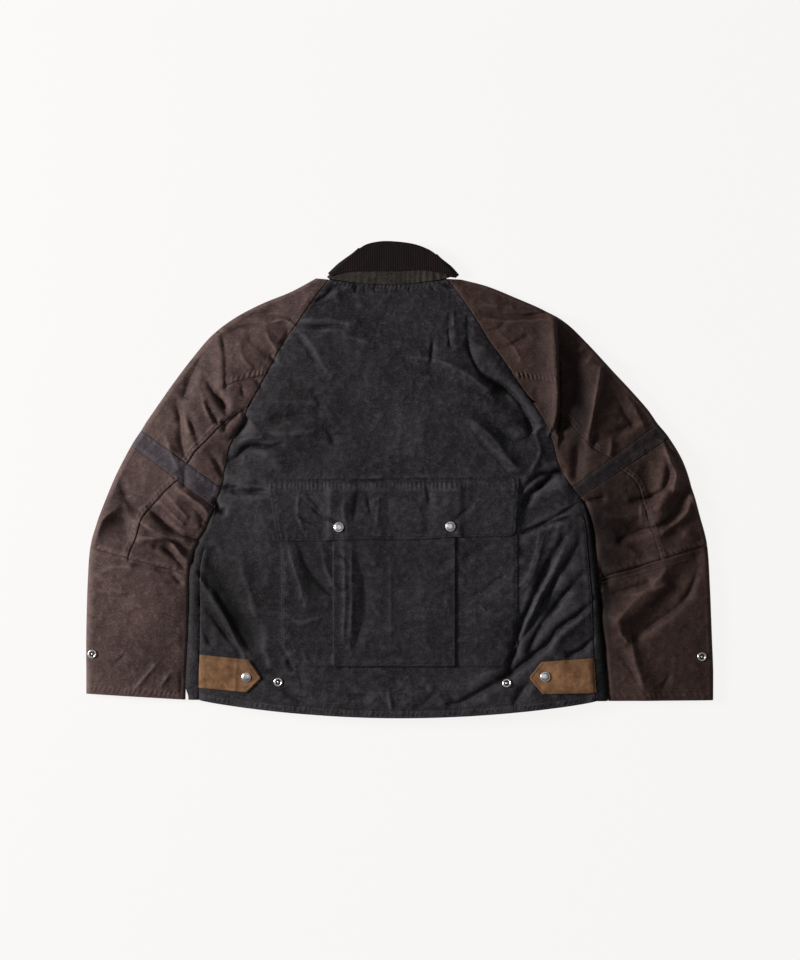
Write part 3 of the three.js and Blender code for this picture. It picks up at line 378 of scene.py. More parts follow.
    (5, 5, 1.2, (327, -211), (330, -229), (339, -241)),
]

PANEL = 1.0  # a single cloth
DOUBLE = 1.6  # two cloths sewn together


def smooth(t):
    k = np.clip(t, 0, 1)
    return k * k * (3 - 2 * k)


def mix(a, b, t):
    return a + (b - a) * t


def curve(rows, t):
    """The rows of a table as a curve through them, at t counted in rows."""
    rows = np.asarray(rows, float)
    t = np.asarray(t, float)
    row = np.clip(np.floor(t).astype(int), 0, len(rows) - 2)
    k = (t - row)[..., None]
    a, b, c, d = (rows[np.clip(row + step, 0, len(rows) - 1)] for step in (-1, 0, 1, 2))
    return b + 0.5 * k * (c - a + k * (2 * a - 5 * b + 4 * c - d + k * (3 * b - a - 3 * c + d)))


def points(*parts):
    return np.stack(np.broadcast_arrays(*parts), axis=-1).astype(float)


def resample(line, step):
    """A polyline's points at even steps of its length."""
    line = np.asarray(line, float)
    along = np.concatenate([[0], np.cumsum(np.linalg.norm(np.diff(line, axis=0), axis=1))])
    count = max(2, int(round(along[-1] / step)) + 1)
    at = np.linspace(0, along[-1], count)
    return np.stack([np.interp(at, along, line[:, k]) for k in range(line.shape[1])], axis=1)


def spline(line, step):
    """Even steps along a smooth curve through a few points."""
    return resample(curve(line, np.linspace(0, len(line) - 1, 12 * (len(line) - 1) + 1)), step)


def beside(line, x, y):
    """For points: how far left of a line they are, how far along it, and how far past its ends."""
    step = np.linalg.norm(line[1] - line[0])
    way = np.gradient(line, axis=0)
    way /= np.linalg.norm(way, axis=1)[:, None]
    nearest = np.zeros(x.shape, int)
    best = np.full(x.shape, np.inf)
    for k, (px, py) in enumerate(line):
        away = (x - px) ** 2 + (y - py) ** 2
        closer = away < best
        best[closer] = away[closer]
        nearest[closer] = k
    dx, dy = x - line[nearest, 0], y - line[nearest, 1]
    wx, wy = way[nearest, 0], way[nearest, 1]
    forward = dx * wx + dy * wy
    last = len(line) - 1
    before, after = np.maximum(0, -forward), np.maximum(0, forward)
    past = np.where(nearest == 0, before, 0) + np.where(nearest == last, after, 0)
    return wx * dy - wy * dx, nearest * step + forward, past


def near(line, x, y, reach):
    low, high = line.min(axis=0) - reach, line.max(axis=0) + reach
    return (x > low[0]) & (x < high[0]) & (y > low[1]) & (y < high[1])


def gradient_noise(x, y, size, seed):
    """Smooth noise from about -1 to 1, with bumps about size wide."""
    angle = np.random.default_rng(seed).uniform(0, 2 * math.pi, (64, 64))
    x, y = x / size + 1000, y / size + 1000
    i, j = np.floor(x).astype(int), np.floor(y).astype(int)
    u, v = x - i, y - j

    def corner(a, b):
        turn = angle[(i + a) % 64, (j + b) % 64]
        return np.cos(turn) * (u - a) + np.sin(turn) * (v - b)

    across = [mix(corner(0, b), corner(1, b), smooth(u)) for b in (0, 1)]
    return 1.4 * mix(across[0], across[1], smooth(v))


def clear_of_pocket(x, y):
    inside = np.minimum(
        np.minimum(x - FLAP["left"], POCKET["right"] - x), np.minimum(y - POCKET["bottom"], FLAP["top"] - y)
    )
    return 1 - smooth(1 + inside / 14)


def fold_height(x, y):
    """The folds that the solids have too."""
    height = np.zeros(np.shape(x))
    for from_x, from_y, to_x, to_y, width, high in FOLDS:
        way = np.array([to_x - from_x, to_y - from_y], float)
        length = np.hypot(*way)
        along = ((x - from_x) * way[0] + (y - from_y) * way[1]) / length
        across = ((x - from_x) * way[1] - (y - from_y) * way[0]) / length
        beyond = np.maximum(0, np.maximum(-along, along - length))
        height += high * np.exp(-((across / width) ** 2) - (beyond / (1.3 * width)) ** 2)
    return height * clear_of_pocket(x, y)


# Relief is what the creases, seams and puckers add to the upper layer.


def crease_lines():
    made = []
    for k, (west, east, height, *line) in enumerate(CREASES):
        made.append((spline(np.array(line, float), 2.0), west, east, height, k))
    return made


def creases(x, y):
    height = np.zeros(x.shape)
    for line, west, east, high, seed in CREASE_LINES:
        reach = 3 * max(west, east)
        chosen = near(line, x, y, reach)
        if not chosen.any():
            continue
        px, py = x[chosen], y[chosen]
        across, along, past = beside(line, px, py)
        way = line[-1] - line[0]
        east_is_left = -way[1] > 0 if abs(way[1]) > 0.15 * abs(way[0]) else way[0] > 0
        across = across if east_is_left else -across
        length = max(along.max(), 1)
        t = np.clip(along / length, 0, 1)
        taper = 0.35 + 0.65 * smooth(t / 0.3) * smooth((1 - t) / 0.3)
        uneven = 1 + 0.22 * np.sin(along / 11 + 2.1 * seed) + 0.12 * np.sin(along / 5.3 + seed)
        width = np.where(across > 0, east, west) * (1 + 0.12 * np.sin(along / 17 + seed))
        sharpness = 1.25 + 0.55 * smooth((width - 5) / 12)
        profile = np.exp(-(np.abs(across / width) ** sharpness)) * np.exp(-((past / (1.2 * width)) ** 2))
        depth = mix(2.1, 1.5, smooth((width - 5) / 10))
        height[chosen] += depth * high * profile * taper * uneven
    return height


def sleeve(side, t):
    """Row t of a sleeve: the table's values, its inner end, the way across and the width."""
    row = curve(SLEEVES[side], t)
    inner = row[..., [INNER_X, INNER_Y]]
    way = row[..., [OUTER_X, OUTER_Y]] - inner
    width = np.linalg.norm(way, axis=-1)
    return row, inner, way / width[..., None], width - FLOOR


def sleeve_top(side, t, s):
    row, inner, way, width = sleeve(side, t)
    at = inner + way * (s * width)[..., None]
    rise = row[..., RISE] * np.sin(np.pi * np.clip(s, 0, 0.9999)) ** 0.8
    folds = fold_height(at[..., 0], at[..., 1])
    z = FLOOR + mix(row[..., INNER_Z], row[..., OUTER_Z], smooth(s)) + rise + folds
    return points(at[..., 0], at[..., 1], z)


def inner_bulge(t):
    return np.where(t <= UNDERARM, 0, EDGE_BULGE * smooth((t - UNDERARM + 0.12) / 0.9) + 0.8)


def across_limits(side, t):
    """Where the flat of the upper layer starts and ends, as parts of the width."""
    width = sleeve(side, t)[3]
    return inner_bulge(t) / width, 1 - EDGE_BULGE / width


def seam_across(side, t):
    """Where the diagonal seam lies across the upper layer."""
    seam = np.maximum(0, curve(SLEEVES[side], t)[..., SEAM])
    start, end = across_limits(side, t)
    return np.where(t <= BAND_TOP, seam, mix(start, end, seam))


def sleeve_line(side, t, s):
    return resample(sleeve_top(side, np.asarray(t, float), s)[..., :2], 2.0)


def body_row(side, t):
    """The body's edge beside a sleeve: x, y, the width of the front's strip on the back, and the height."""
    row, inner, _, _ = sleeve(side, t)
    k = 0 if side == "left" else 1
    sign = 1 - 2 * k
    lower = curve(BODY, np.maximum(t - UNDERARM, 0))
    below = smooth((t - UNDERARM) / 0.35)
    x = inner[..., 0] + sign * below * (lower[..., k] + FLOOR)
    strip = np.where(t > UNDERARM, lower[..., 2 + k] * smooth((t - UNDERARM) / 0.2), 0)
    side_z = np.where(t > UNDERARM, lower[..., 4], row[..., INNER_Z])
    return x, inner[..., 1], strip, side_z


def back_frame(u, t):
    """The back panel without folds: x, y and height at u from its left seam to its right, t down the rows."""
    left_x, left_y, left_strip, left_z = body_row("left", t)
    right_x, right_y, right_strip, right_z = body_row("right", t)
    x = mix(left_x + left_strip, right_x - right_strip, u)
    dip = mix(NECK_DIP, 0, smooth(t / 5)) + HEM_DIP * smooth((t - 12) / (CUFF - 12))
    y = mix(left_y, right_y, u) - dip * np.sin(np.pi * np.clip(u, 0, 0.9999)) ** 0.8
    crown = CROWN * smooth(t / 6) * (1 - (2 * np.clip(u, 0, 1) - 1) ** 4)
    return x, y, FLOOR + mix(left_z, right_z, u) + crown


def back_point(u, t):
    x, y, z = back_frame(u, t)
    return points(x, y, z + fold_height(x, y) * smooth((CUFF - t) / 2))


def back_height(x, y):
    """The height of the back under a point: its middle surface, folds included."""
    x, y = np.asarray(x, float), np.asarray(y, float)
    t = np.interp(-y, [-300, -17, 42, 181, 330], [0, 9, 11, 16, 19])
    for _ in range(14):
        left, _, _ = back_frame(np.zeros_like(t), t)
        right, _, _ = back_frame(np.ones_like(t), t)
        u = np.clip((x - left) / (right - left), 0, 1)
        _, here, _ = back_frame(u, t)
        _, below, _ = back_frame(u, t + 0.05)
        t = np.clip(t + 0.05 * (here - y) / (here - below), 0, CUFF)
    _, _, z = back_frame(u, t)
    return z + fold_height(x, y) * smooth((CUFF - t) / 2)


def hem_line():
    u = np.linspace(0, 1, 60)
    x, y, _ = back_frame(u, np.full(60, float(CUFF)))
    ends = [[body_row(side, np.array(float(CUFF)))[k] for k in (0, 1)] for side in ("left", "right")]
    return resample(np.vstack([[ends[0]], np.stack([x, y], axis=1), [ends[1]]]), 2.0)


def rows_of(first, last, count=40):
    return np.linspace(first, last, count)


CROSS_SEAMS = (("band_top", BAND_TOP), ("band_low", UNDERARM), ("forearm", FOREARM), ("cuff", CUFF))

# Every seam of the upper layer, as a line of points.
SEAMS = {}
for side_name in ("left", "right"):
    SEAMS[f"raglan_{side_name}"] = sleeve_line(side_name, rows_of(0, UNDERARM, 80), 0)
    upper = rows_of(WEDGE_START + (0.9 if side_name == "left" else 1.3), BAND_TOP)
    lower = rows_of(UNDERARM, FOREARM)
    SEAMS[f"diagonal_top_{side_name}"] = sleeve_line(side_name, upper, seam_across(side_name, upper))
    SEAMS[f"diagonal_low_{side_name}"] = sleeve_line(side_name, lower, seam_across(side_name, lower))
    whole = np.linspace(0, 1, 40)
    for seam_name, seam_row in CROSS_SEAMS:
        SEAMS[f"{seam_name}_{side_name}"] = sleeve_line(side_name, np.full(40, float(seam_row)), whole)
    side_rows = rows_of(UNDERARM + (2.6 if side_name == "left" else 1.6), CUFF, 60)
    side_x, side_y, _ = back_frame(np.full(60, 0.0 if side_name == "left" else 1.0), side_rows)
    SEAMS[f"side_{side_name}"] = resample(np.stack([side_x, side_y], axis=1), 2.0)
SEAMS["hem"] = hem_line()
SEAMS["dart_left"] = spline([(-201, 155), (-226, 150), (-248, 144), (-260, 138)], 2.0)
SEAMS["dart_right"] = spline([(175, 150), (200, 147), (222, 144), (238, 142)], 2.0)
SEAMS["neck"] = spline([(-100, 298), (-75, 296), (-45, 293), (-5, 292), (37, 294), (70, 298)], 2.0)
SEAMS["band_left_end"] = spline([(-349, 80), (-367, 59), (-384, 42)], 2.0)

# How each seam shows: the line, the depth and half width of its groove, then on which side (1 left of its
# way, -1 right) the sewn allowance stands up, and how high.
SEAM_RELIEF = [
    ("raglan_left", -0.6, 1.1, -1, 0.35),
    ("raglan_right", -0.4, 1.0, 1, 0.1),
    ("diagonal_top_left", -0.9, 1.2, -1, 0.7),
    ("diagonal_low_left", -0.9, 1.2, -1, 0.7),
    ("diagonal_top_right", -0.5, 1.2, 1, 0.4),
    ("diagonal_low_right", -0.5, 1.2, 1, 0.4),
    ("band_top_left", -0.45, 1.1, 1, 0.35),
    ("band_low_left", -0.45, 1.1, -1, 0.35),
    ("band_top_right", -0.45, 1.1, -1, 0.35),
    ("band_low_right", -0.45, 1.1, 1, 0.35),
    ("forearm_left", -0.6, 1.2, -1, 0.6),
    ("forearm_right", -0.6, 1.2, 1, 0.5),
    ("dart_left", -0.8, 1.1, -1, 0.5),
    ("dart_right", -0.7, 1.1, 1, 0.5),
    ("band_left_end", -0.4, 1.2, 1, 0.2),
    ("side_left", -0.6, 1.3, 1, 0.6),
    ("side_right", -0.6, 1.3, -1, 0.6),
]

# Puckers beside stitching: the line, the side (1 left of its way), how far from it, their half length across
# it, spacing and height.
PUCKERS = [
    ("dart_left", -1, 5.5, 4.5, 7.5, 0.8),
    ("dart_right", 1, 6, 4.5, 6.0, 1.6),
    ("neck", -1, 4, 4.5, 6.4, 0.45),
    ("diagonal_top_left", -1, 5, 4, 7.0, 0.8),
    ("diagonal_low_left", -1, 5, 4, 7.5, 0.8),
    ("diagonal_top_right", 1, 4, 3.5, 8.0, 0.4),
    ("diagonal_low_right", 1, 4, 3.5, 8.0, 0.5),
    ("forearm_left", -1, 4, 3.5, 9.0, 0.4),
    ("forearm_right", 1, 5, 4, 8.0, 0.6),
    ("side_left", -1, 4, 4, 9.0, 0.7),
    ("side_right", 1, 4, 4, 10.0, 0.5),
    ("raglan_left", 1, 3.5, 3, 11.0, 0.3),
    ("raglan_right", -1, 3.5, 3, 11.0, 0.3),
    ("hem", 1, 6.0, 4.2, 4.0, 0.85),
    ("cuff_left", -1, 8, 5, 7.0, 0.65),
    ("cuff_right", 1, 8, 4.5, 10.0, 0.5),
    ("band_top_left", 1, 4, 3, 9.0, 0.3),
    ("band_low_right", 1, 4, 3, 9.0, 0.3),
]


def seam_relief(x, y):
    height = np.zeros(x.shape)
    for name, depth, width, side, stand in SEAM_RELIEF:
        chosen = near(SEAMS[name], x, y, 14)
        if not chosen.any():
            continue
        across, _, past = beside(SEAMS[name], x[chosen], y[chosen])
        ends = np.exp(-((past / 3) ** 2))
        groove = depth * np.exp(-((across / width) ** 2))
        to_side = across * side
        allowance = stand * smooth((to_side - 0.8) / 1.6) * (1 - smooth((to_side - 8) / 3.5))
        height[chosen] += ends * (groove + allowance)
    return height


PUCKER_HEIGHT = 1.7


def puckers(x, y):
    height = np.zeros(x.shape)
    for seed, (name, side, away, reach, spacing, high) in enumerate(PUCKERS):
        chosen = near(SEAMS[name], x, y, 18)
        if not chosen.any():
            continue
        across, along, past = beside(SEAMS[name], x[chosen], y[chosen])
        out = across * side
        band = np.exp(-np.abs((out - away) / reach) ** 2.5) * np.exp(-((past / 3) ** 2)) * (out > 0)
        phase = along / spacing + 0.35 * np.sin(along / 23 + seed) + 0.22 * np.sin(along / 9.1 + 2 * seed)
        wave = (0.5 + 0.5 * np.cos(2 * np.pi * (phase + 0.06 * out))) ** 2.2
        uneven = 0.7 + 0.3 * np.sin(along / 13 + 1.7 * seed) * np.sin(along / 31 + seed)
        height[chosen] += PUCKER_HEIGHT * high * band * wave * uneven
    return height


def hem_roll(x, y):
    """The turned hem: one more cloth along the edge, up to its stitching."""
    height = np.zeros(x.shape)
    for name, side, deep in (("hem", 1, 11), ("cuff_left", -1, 15), ("cuff_right", 1, 12)):
        chosen = near(SEAMS[name], x, y, 30)
        if not chosen.any():
            continue
        across, _, past = beside(SEAMS[name], x[chosen], y[chosen])
        out = across * side
        doubled = 0.5 * (1 - smooth((out - deep) / 1.8)) * (past < 8)
        height[chosen] += doubled - 0.35 * np.exp(-(((out - deep) / 1.4) ** 2))
    return height


def crumple(x, y):
    """The broken, waxy surface: soft waves and faint ridges where the cloth has been creased before."""
    bend_x = x + 9 * gradient_noise(x, y, 60, 1)
    bend_y = y + 9 * gradient_noise(x, y, 60, 2)
    waves = 0.9 * gradient_noise(bend_x, bend_y, 52, 3) + 0.5 * gradient_noise(bend_x, bend_y, 24, 4)
    ridges = 1.1 * (0.35 - np.abs(gradient_noise(bend_x, bend_y, 34, 5)))
    fine = 0.6 * (0.3 - np.abs(gradient_noise(bend_x, bend_y, 14, 6))) + 0.16 * gradient_noise(x, y, 7, 7)
    return waves + ridges + fine


CREASE_LINES = crease_lines()


def relief(x, y):
    x, y = np.asarray(x, float), np.asarray(y, float)
    flat = x.ravel(), y.ravel()
    height = creases(*flat) + seam_relief(*flat) + puckers(*flat) + hem_roll(*flat) + crumple(*flat)
    return height.reshape(x.shape)


# Meshes.

PIECES = {}


def make_mesh(name, vertices, faces, material, sharp_from=None):
    mesh = bpy.data.meshes.new(name)
    mesh.from_pydata((np.asarray(vertices) / 1000).tolist(), [], faces)
    mesh.polygons.foreach_set("use_smooth", [True] * len(faces))
    if sharp_from is not None:
        flags = np.ones(len(faces), bool)
        flags[sharp_from[0]:sharp_from[1]] = False
        mesh.polygons.foreach_set("use_smooth", flags)
    mesh.materials.append(material)
    mesh.validate()
    mesh.update()
    if sharp_from is not None:
        mesh.set_sharp_from_angle(angle=math.radians(62))
    made = bpy.data.objects.new(name, mesh)
    bpy.context.scene.collection.objects.link(made)
    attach(made, "root")
    PIECES[name] = made
    return made


# Painted shade and painted light on the cloth's colour, as soft patches: x, y, half widths across and along,
# the way along in degrees, and how much darker or lighter the colour is painted there.
PAINTED_SHADE_AND_LIGHT = [
    # back, left of the middle
    (-164, 126, 15, 57, 5, -0.25),
    (-146, 90, 12, 63, 0, -0.3),
    (-188, 46, 10, 54, 0, -0.25),
    (-158, 70, 39, 66, 0, -0.14),
    (-164, 82, 60, 75, 90, -0.1),
    (-98, -144, 82, 90, 90, -0.06),
    (8, 88, 39, 51, 90, 0.35),
    (-50, 130, 15, 48, 90, 0.12),
    (46, 224, 33, 60, 0, 0.12),
    (120, 116, 21, 51, 0, 0.25),
    (112, 212, 9, 39, -76, -0.22),
    (196, 106, 10, 48, -52, -0.34),
    (146, 48, 8, 51, -46, -0.18),
    (136, 140, 6, 45, -38, -0.35),
    (160, 146, 10, 54, -44, -0.3),
    # body, left side
    (-246, -182, 48, 93, -66, -0.42),
    (-282, -264, 15, 45, 90, -0.2),
    (-278, -200, 30, 75, -62, -0.34),
    (-266, -62, 27, 60, 80, -0.15),
    (-264, -212, 39, 66, -62, -0.22),
    # pocket
    (-146, -182, 21, 69, 90, -0.2),
    (-134, -142, 21, 57, -62, -0.38),
    (-80, -182, 9, 78, 90, 0.22),
    (-58, -164, 10, 82, 90, -0.32),
    (130, -182, 24, 78, 62, 0.4),
    (40, -212, 21, 63, 70, 0.25),
    (-150, -248, 18, 30, 0, 0.1),
    # flap
    (-152, -32, 18, 33, 0, 0.15),
    (-62, -38, 9, 36, 90, -0.3),
    (38, -36, 21, 63, 0, 0.3),
    (146, -40, 24, 33, 90, 0.3),
    # body, right side
    (244, -32, 21, 63, 60, 0.5),
    (208, -130, 14, 51, 70, 0.2),
    (172, -278, 14, 72, 48, -0.3),
    (286, -182, 12, 68, 90, -0.25),
    # tabs
    (242, -296, 30, 60, 0, 0.26),
    (-256, -290, 24, 51, 0, -0.08),
    # hem
    (0, -320, 18, 142, 0, 0.28),
    (-254, -316, 12, 60, 0, 0.1),
    # right sleeve
    (250, 190, 10, 39, -66, -0.5),
    (262, 130, 18, 45, -75, -0.62),
    (256, 76, 18, 36, 90, -0.55),
    (276, 112, 10, 54, 79, -0.5),
    (294, -62, 15, 42, 80, -0.85),
    (326, -68, 36, 69, 90, -0.55),
    (306, -182, 12, 150, 88, -0.88),
    (324, -152, 15, 84, 90, -0.45),
    (334, -206, 15, 39, 60, 0.35),
    (390, -182, 10, 66, 54, -0.25),
    (278, 14, 18, 39, 90, -0.45),
    (408, -2, 21, 60, -65, 0.3),
    (360, 126, 21, 45, -50, 0.15),
    # left sleeve
    (-408, -182, 51, 69, 0, 0.22),
    (-422, -62, 18, 39, -60, -0.2),
    (-374, 178, 30, 69, 55, 0.12),
    (-352, 16, 18, 51, -38, 0.2),
    (-374, -104, 15, 39, -10, -0.2),
    (-292, -62, 15, 39, -50, -0.15),
]


# The factor on the cloth's colour at each point: below 1 is painted shade, above 1 is painted light.
def painted_shade_and_light_at(x, y):
    painted_there = np.ones(np.shape(x))
    for centre_x, centre_y, across, along, turn, change in PAINTED_SHADE_AND_LIGHT:
        cos, sin = math.cos(math.radians(turn)), math.sin(math.radians(turn))
        dx, dy = x - centre_x, y - centre_y
        away = ((dx * cos + dy * sin) / along) ** 2 + ((dy * cos - dx * sin) / across) ** 2
        painted_there = painted_there * (1 + change * np.exp(-away))
    return painted_there


def add_values(made, name, values):
    """A number at each point of a piece, for its material."""
    layer = made.data.attributes.new(name, "FLOAT", "POINT")
    padded = np.zeros(len(made.data.vertices), np.float32)
    padded[:len(values)] = values
    layer.data.foreach_set("value", padded)


CREASE_FLOOR = 1.4  # no crease takes an upper cloth lower than this above the table
INSIDE_FLOOR = 0.2  # or its hidden side lower than this


def upward(grid):
    return np.zeros_like(grid) + (0, 0, 1)


def under_relief(inner, added, step):
    """The hidden side lowered so that, with a point only every few steps, it stays under every crease."""
    rows, columns = added.shape
    wide = np.pad(added, step, mode="edge")
    shifts = range(2 * step + 1)
    least = np.min([wide[a:a + rows, b:b + columns] for a in shifts for b in shifts], axis=0)
    low = inner.copy()
    low[..., 2] = np.maximum(low[..., 2] - np.maximum(0, added - least), INSIDE_FLOOR)
    return low


def wide_faces(below, step, ring, flip):
    """Faces several steps wide over a grid of numbers, with every point of it along the open edges."""
    rows, columns = below.shape
    picked_rows = np.unique(np.append(np.arange(0, rows, step), rows - 1))
    picked_columns = np.unique(np.append(np.arange(0, columns, step), columns - 1))
    faces = []

    def run(line, first, last, at_edge):
        return line[first:last + 1].tolist() if at_edge else [line[first], line[last]]

    for a, c in zip(picked_rows[:-1], picked_rows[1:]):
        for b, d in zip(picked_columns[:-1], picked_columns[1:]):
            north = run(below[a], b, d, a == 0)
            south = run(below[c], b, d, c == rows - 1)
            west = run(below[:, b], a, c, b == 0 and not ring)
            east = run(below[:, d], a, c, d == columns - 1 and not ring)
            polygon = north[:-1] + east[:-1] + south[::-1][:-1] + west[::-1][:-1]
            faces.append([int(v) for v in (polygon if flip else polygon[::-1])])
    return faces


def shell(
    name, node, grid, way, thickness, material, added=None, mask=None, step=3, ring=False
):
    """A thin closed shell round a grid of points.

    added is the relief that the grid already has. Without a mask the hidden side has a point only every few
    steps. ring closes the columns.
    """
    rows, columns = grid.shape[:2]
    way = way / np.linalg.norm(way, axis=2, keepdims=True)
    outer = grid + way * thickness / 2
    inner = grid - way * thickness / 2
    outer[..., 2] = np.maximum(outer[..., 2], np.where(way[..., 2] > 0.5, CREASE_FLOOR, 0))
    inner[..., 2] = np.maximum(inner[..., 2], INSIDE_FLOOR)
    used = columns - 1 if ring else columns
    number = np.arange(rows * used).reshape(rows, used)
    if ring:
        number = np.concatenate([number, number[:, :1]], axis=1)
    count = rows * used
    front = np.stack([number[:-1, :-1], number[:-1, 1:], number[1:, 1:], number[1:, :-1]], axis=-1)
    kept = np.ones((rows - 1, columns - 1), bool) if mask is None else mask
    front = front[kept]
    facing = np.cross(grid[:-1, 1:] - grid[:-1, :-1], grid[1:, :-1] - grid[:-1, :-1])
    flip = (facing[kept] * way[:-1, :-1][kept]).sum() < 0
    if flip:
        front = front[:, ::-1]
    outer_points = outer[:, :used].reshape(-1, 3)
    pairs = np.concatenate([front[:, [k, (k + 1) % 4]] for k in range(4)])
    keys = np.sort(pairs, axis=1)
    code = keys[:, 0].astype(np.int64) * count + keys[:, 1]
    _, first, times = np.unique(code, return_index=True, return_counts=True)
    rim = pairs[first[times == 1]]
    sides = np.stack([rim[:, 1], rim[:, 0], rim[:, 0] + count, rim[:, 1] + count], axis=1)
    low = inner
    if mask is not None or step == 1:
        back = (front[:, ::-1] + count).tolist()
    else:
        back = wide_faces(number + count, step, ring, flip)
        if added is not None:
            low = under_relief(inner, added, step)
            low[[0, -1]] = inner[[0, -1]]
            if not ring:
                low[:, [0, -1]] = inner[:, [0, -1]]
    faces = front.tolist() + back + sides.tolist()
    vertices = np.concatenate([outer_points, low[:, :used].reshape(-1, 3)])
    vertices, faces, used = drop_unused(vertices, faces)
    outer_points = outer_points[used[used < count]]
    made = make_mesh(name, vertices, faces, material, (len(faces) - len(rim), len(faces)))
    x, y = outer_points[:, 0], outer_points[:, 1]
    # The tone values are the painted shade and painted light that the cloth's colour is multiplied by.
    add_values(made, "tone", painted_shade_and_light_at(x, y))
    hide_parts(node)
    return made


def drop_unused(vertices, faces):
    used = np.unique(np.concatenate([np.asarray(face) for face in faces]))
    renumber = np.full(len(vertices), -1)
    renumber[used] = np.arange(len(used))
    return vertices[used], [renumber[face].tolist() for face in faces], used


def steps(length, size, fine=(0.35, 1.0)):
    """Parts of a length from 0 to 1, even but for finer steps at both ends."""
    count = max(2, int(round(length / size)))
    inside = np.linspace(0, length, count + 1)[1:-1]
    inside = inside[(inside > fine[-1] + 0.4 * size) & (inside < length - fine[-1] - 0.4 * size)]
    ends = np.array([0, *fine])
    return np.concatenate([ends, inside, (length - ends)[::-1]]) / length


def rows_at(side, first, last, size):
    """Stations down a sleeve, at even steps of its length but for finer steps at both ends."""
    t = np.linspace(first, last, 400)
    _, inner, way, width = sleeve(side, t)
    middle = inner + way * (0.7 * width)[:, None]
    along = np.concatenate([[0], np.cumsum(np.linalg.norm(np.diff(middle, axis=0), axis=1))])
    at = steps(along[-1], size) * along[-1]
    return np.interp(at, along, t)


# Materials. Each colour is made of its named tones by noise in the object's own coordinates.


class Graph:
    """A material's nodes, made one call at a time."""

    def __init__(self, name):
        self.material = bpy.data.materials.new(name)
        self.material.use_nodes = True
        self.tree = self.material.node_tree
        self.shader = self.tree.nodes["Principled BSDF"]
        self.place = self.add("ShaderNodeTexCoord").outputs["Object"]

    def add(self, kind, **settings):
        node = self.tree.nodes.new(kind)
        for key, value in settings.items():
            setattr(node, key, value)
        return node

    def put(self, socket, value):
        if hasattr(value, "links") or hasattr(value, "is_linked"):
            self.tree.links.new(value, socket)
        else:
            socket.default_value = value

    def turned(self, degrees, stretch=(1, 1, 1)):
        node = self.add("ShaderNodeMapping")
        self.put(node.inputs["Vector"], self.place)
        node.inputs["Rotation"].default_value = (0, 0, math.radians(degrees))
        node.inputs["Scale"].default_value = stretch
        return node.outputs["Vector"]

    def noise(self, scale, detail=3, rough=0.55, at=None, distortion=0):
        node = self.add("ShaderNodeTexNoise")
        self.put(node.inputs["Vector"], at or self.place)
        node.inputs["Scale"].default_value = scale
        node.inputs["Detail"].default_value = detail
        node.inputs["Roughness"].default_value = rough
        node.inputs["Distortion"].default_value = distortion
        return node.outputs["Fac"]

    def bands(self, pitch_mm, axis, at=None, distortion=0):
        node = self.add("ShaderNodeTexWave", wave_type="BANDS", bands_direction=axis)
        self.put(node.inputs["Vector"], at or self.place)
        node.inputs["Scale"].default_value = 2 * math.pi / (20 * pitch_mm / 1000)
        node.inputs["Distortion"].default_value = distortion
        node.inputs["Detail Scale"].default_value = 1.0
        return node.outputs["Fac"]

    def edges(self, scale, at=None):
        node = self.add("ShaderNodeTexVoronoi", feature="DISTANCE_TO_EDGE")
        self.put(node.inputs["Vector"], at or self.place)
        node.inputs["Scale"].default_value = scale
        return node.outputs["Distance"]

    def value(self, name):
        return self.add("ShaderNodeAttribute", attribute_name=name).outputs["Fac"]

    def calc(self, operation, a, b=0.0, limit=False):
        node = self.add("ShaderNodeMath", operation=operation, use_clamp=limit)
        self.put(node.inputs[0], a)
        self.put(node.inputs[1], b)
        return node.outputs[0]

    def span(self, value, low, high, to_low=0.0, to_high=1.0):
        node = self.add("ShaderNodeMapRange", interpolation_type="SMOOTHSTEP")
        for key, number in (("From Min", low), ("From Max", high), ("To Min", to_low), ("To Max", to_high)):
            node.inputs[key].default_value = number
        self.put(node.inputs["Value"], value)
        return node.outputs["Result"]

    def blend(self, factor, a, b):
        node = self.add("ShaderNodeMix", data_type="RGBA")
        self.put(node.inputs[0], factor)
        self.put(node.inputs[6], a)
        self.put(node.inputs[7], b)
        return node.outputs[2]

    def scaled(self, colour, factor):
        node = self.add("ShaderNodeVectorMath", operation="SCALE")
        self.put(node.inputs[0], colour)
        self.put(node.inputs["Scale"], factor)
        return node.outputs[0]

    def bump(self, height, depth_mm, strength=1.0, under=None):
        node = self.add("ShaderNodeBump")
        node.inputs["Strength"].default_value = strength
        node.inputs["Distance"].default_value = depth_mm / 1000
        self.put(node.inputs["Height"], height)
        if under is not None:
            self.put(node.inputs["Normal"], under)
        return node.outputs["Normal"]

    def finish(self, colour, roughness, normal=None, metallic=0.0, specular=0.5, sheen=0.0):
        inputs = self.shader.inputs
        self.put(inputs["Base Color"], colour)
        self.put(inputs["Roughness"], roughness)
        inputs["Metallic"].default_value = metallic
        self.put(inputs["Specular IOR Level"], specular)
        inputs["Sheen Weight"].default_value = sheen
        if normal is not None:
            self.put(inputs["Normal"], normal)
        return self.material


def tone(red, green, blue):
    """A colour from its usual numbers, 0 to 255."""
    parts = [part / 255 for part in (red, green, blue)]
    return tuple(v / 12.92 if v <= 0.04045 else ((v + 0.055) / 1.055) ** 2.4 for v in parts) + (1,)


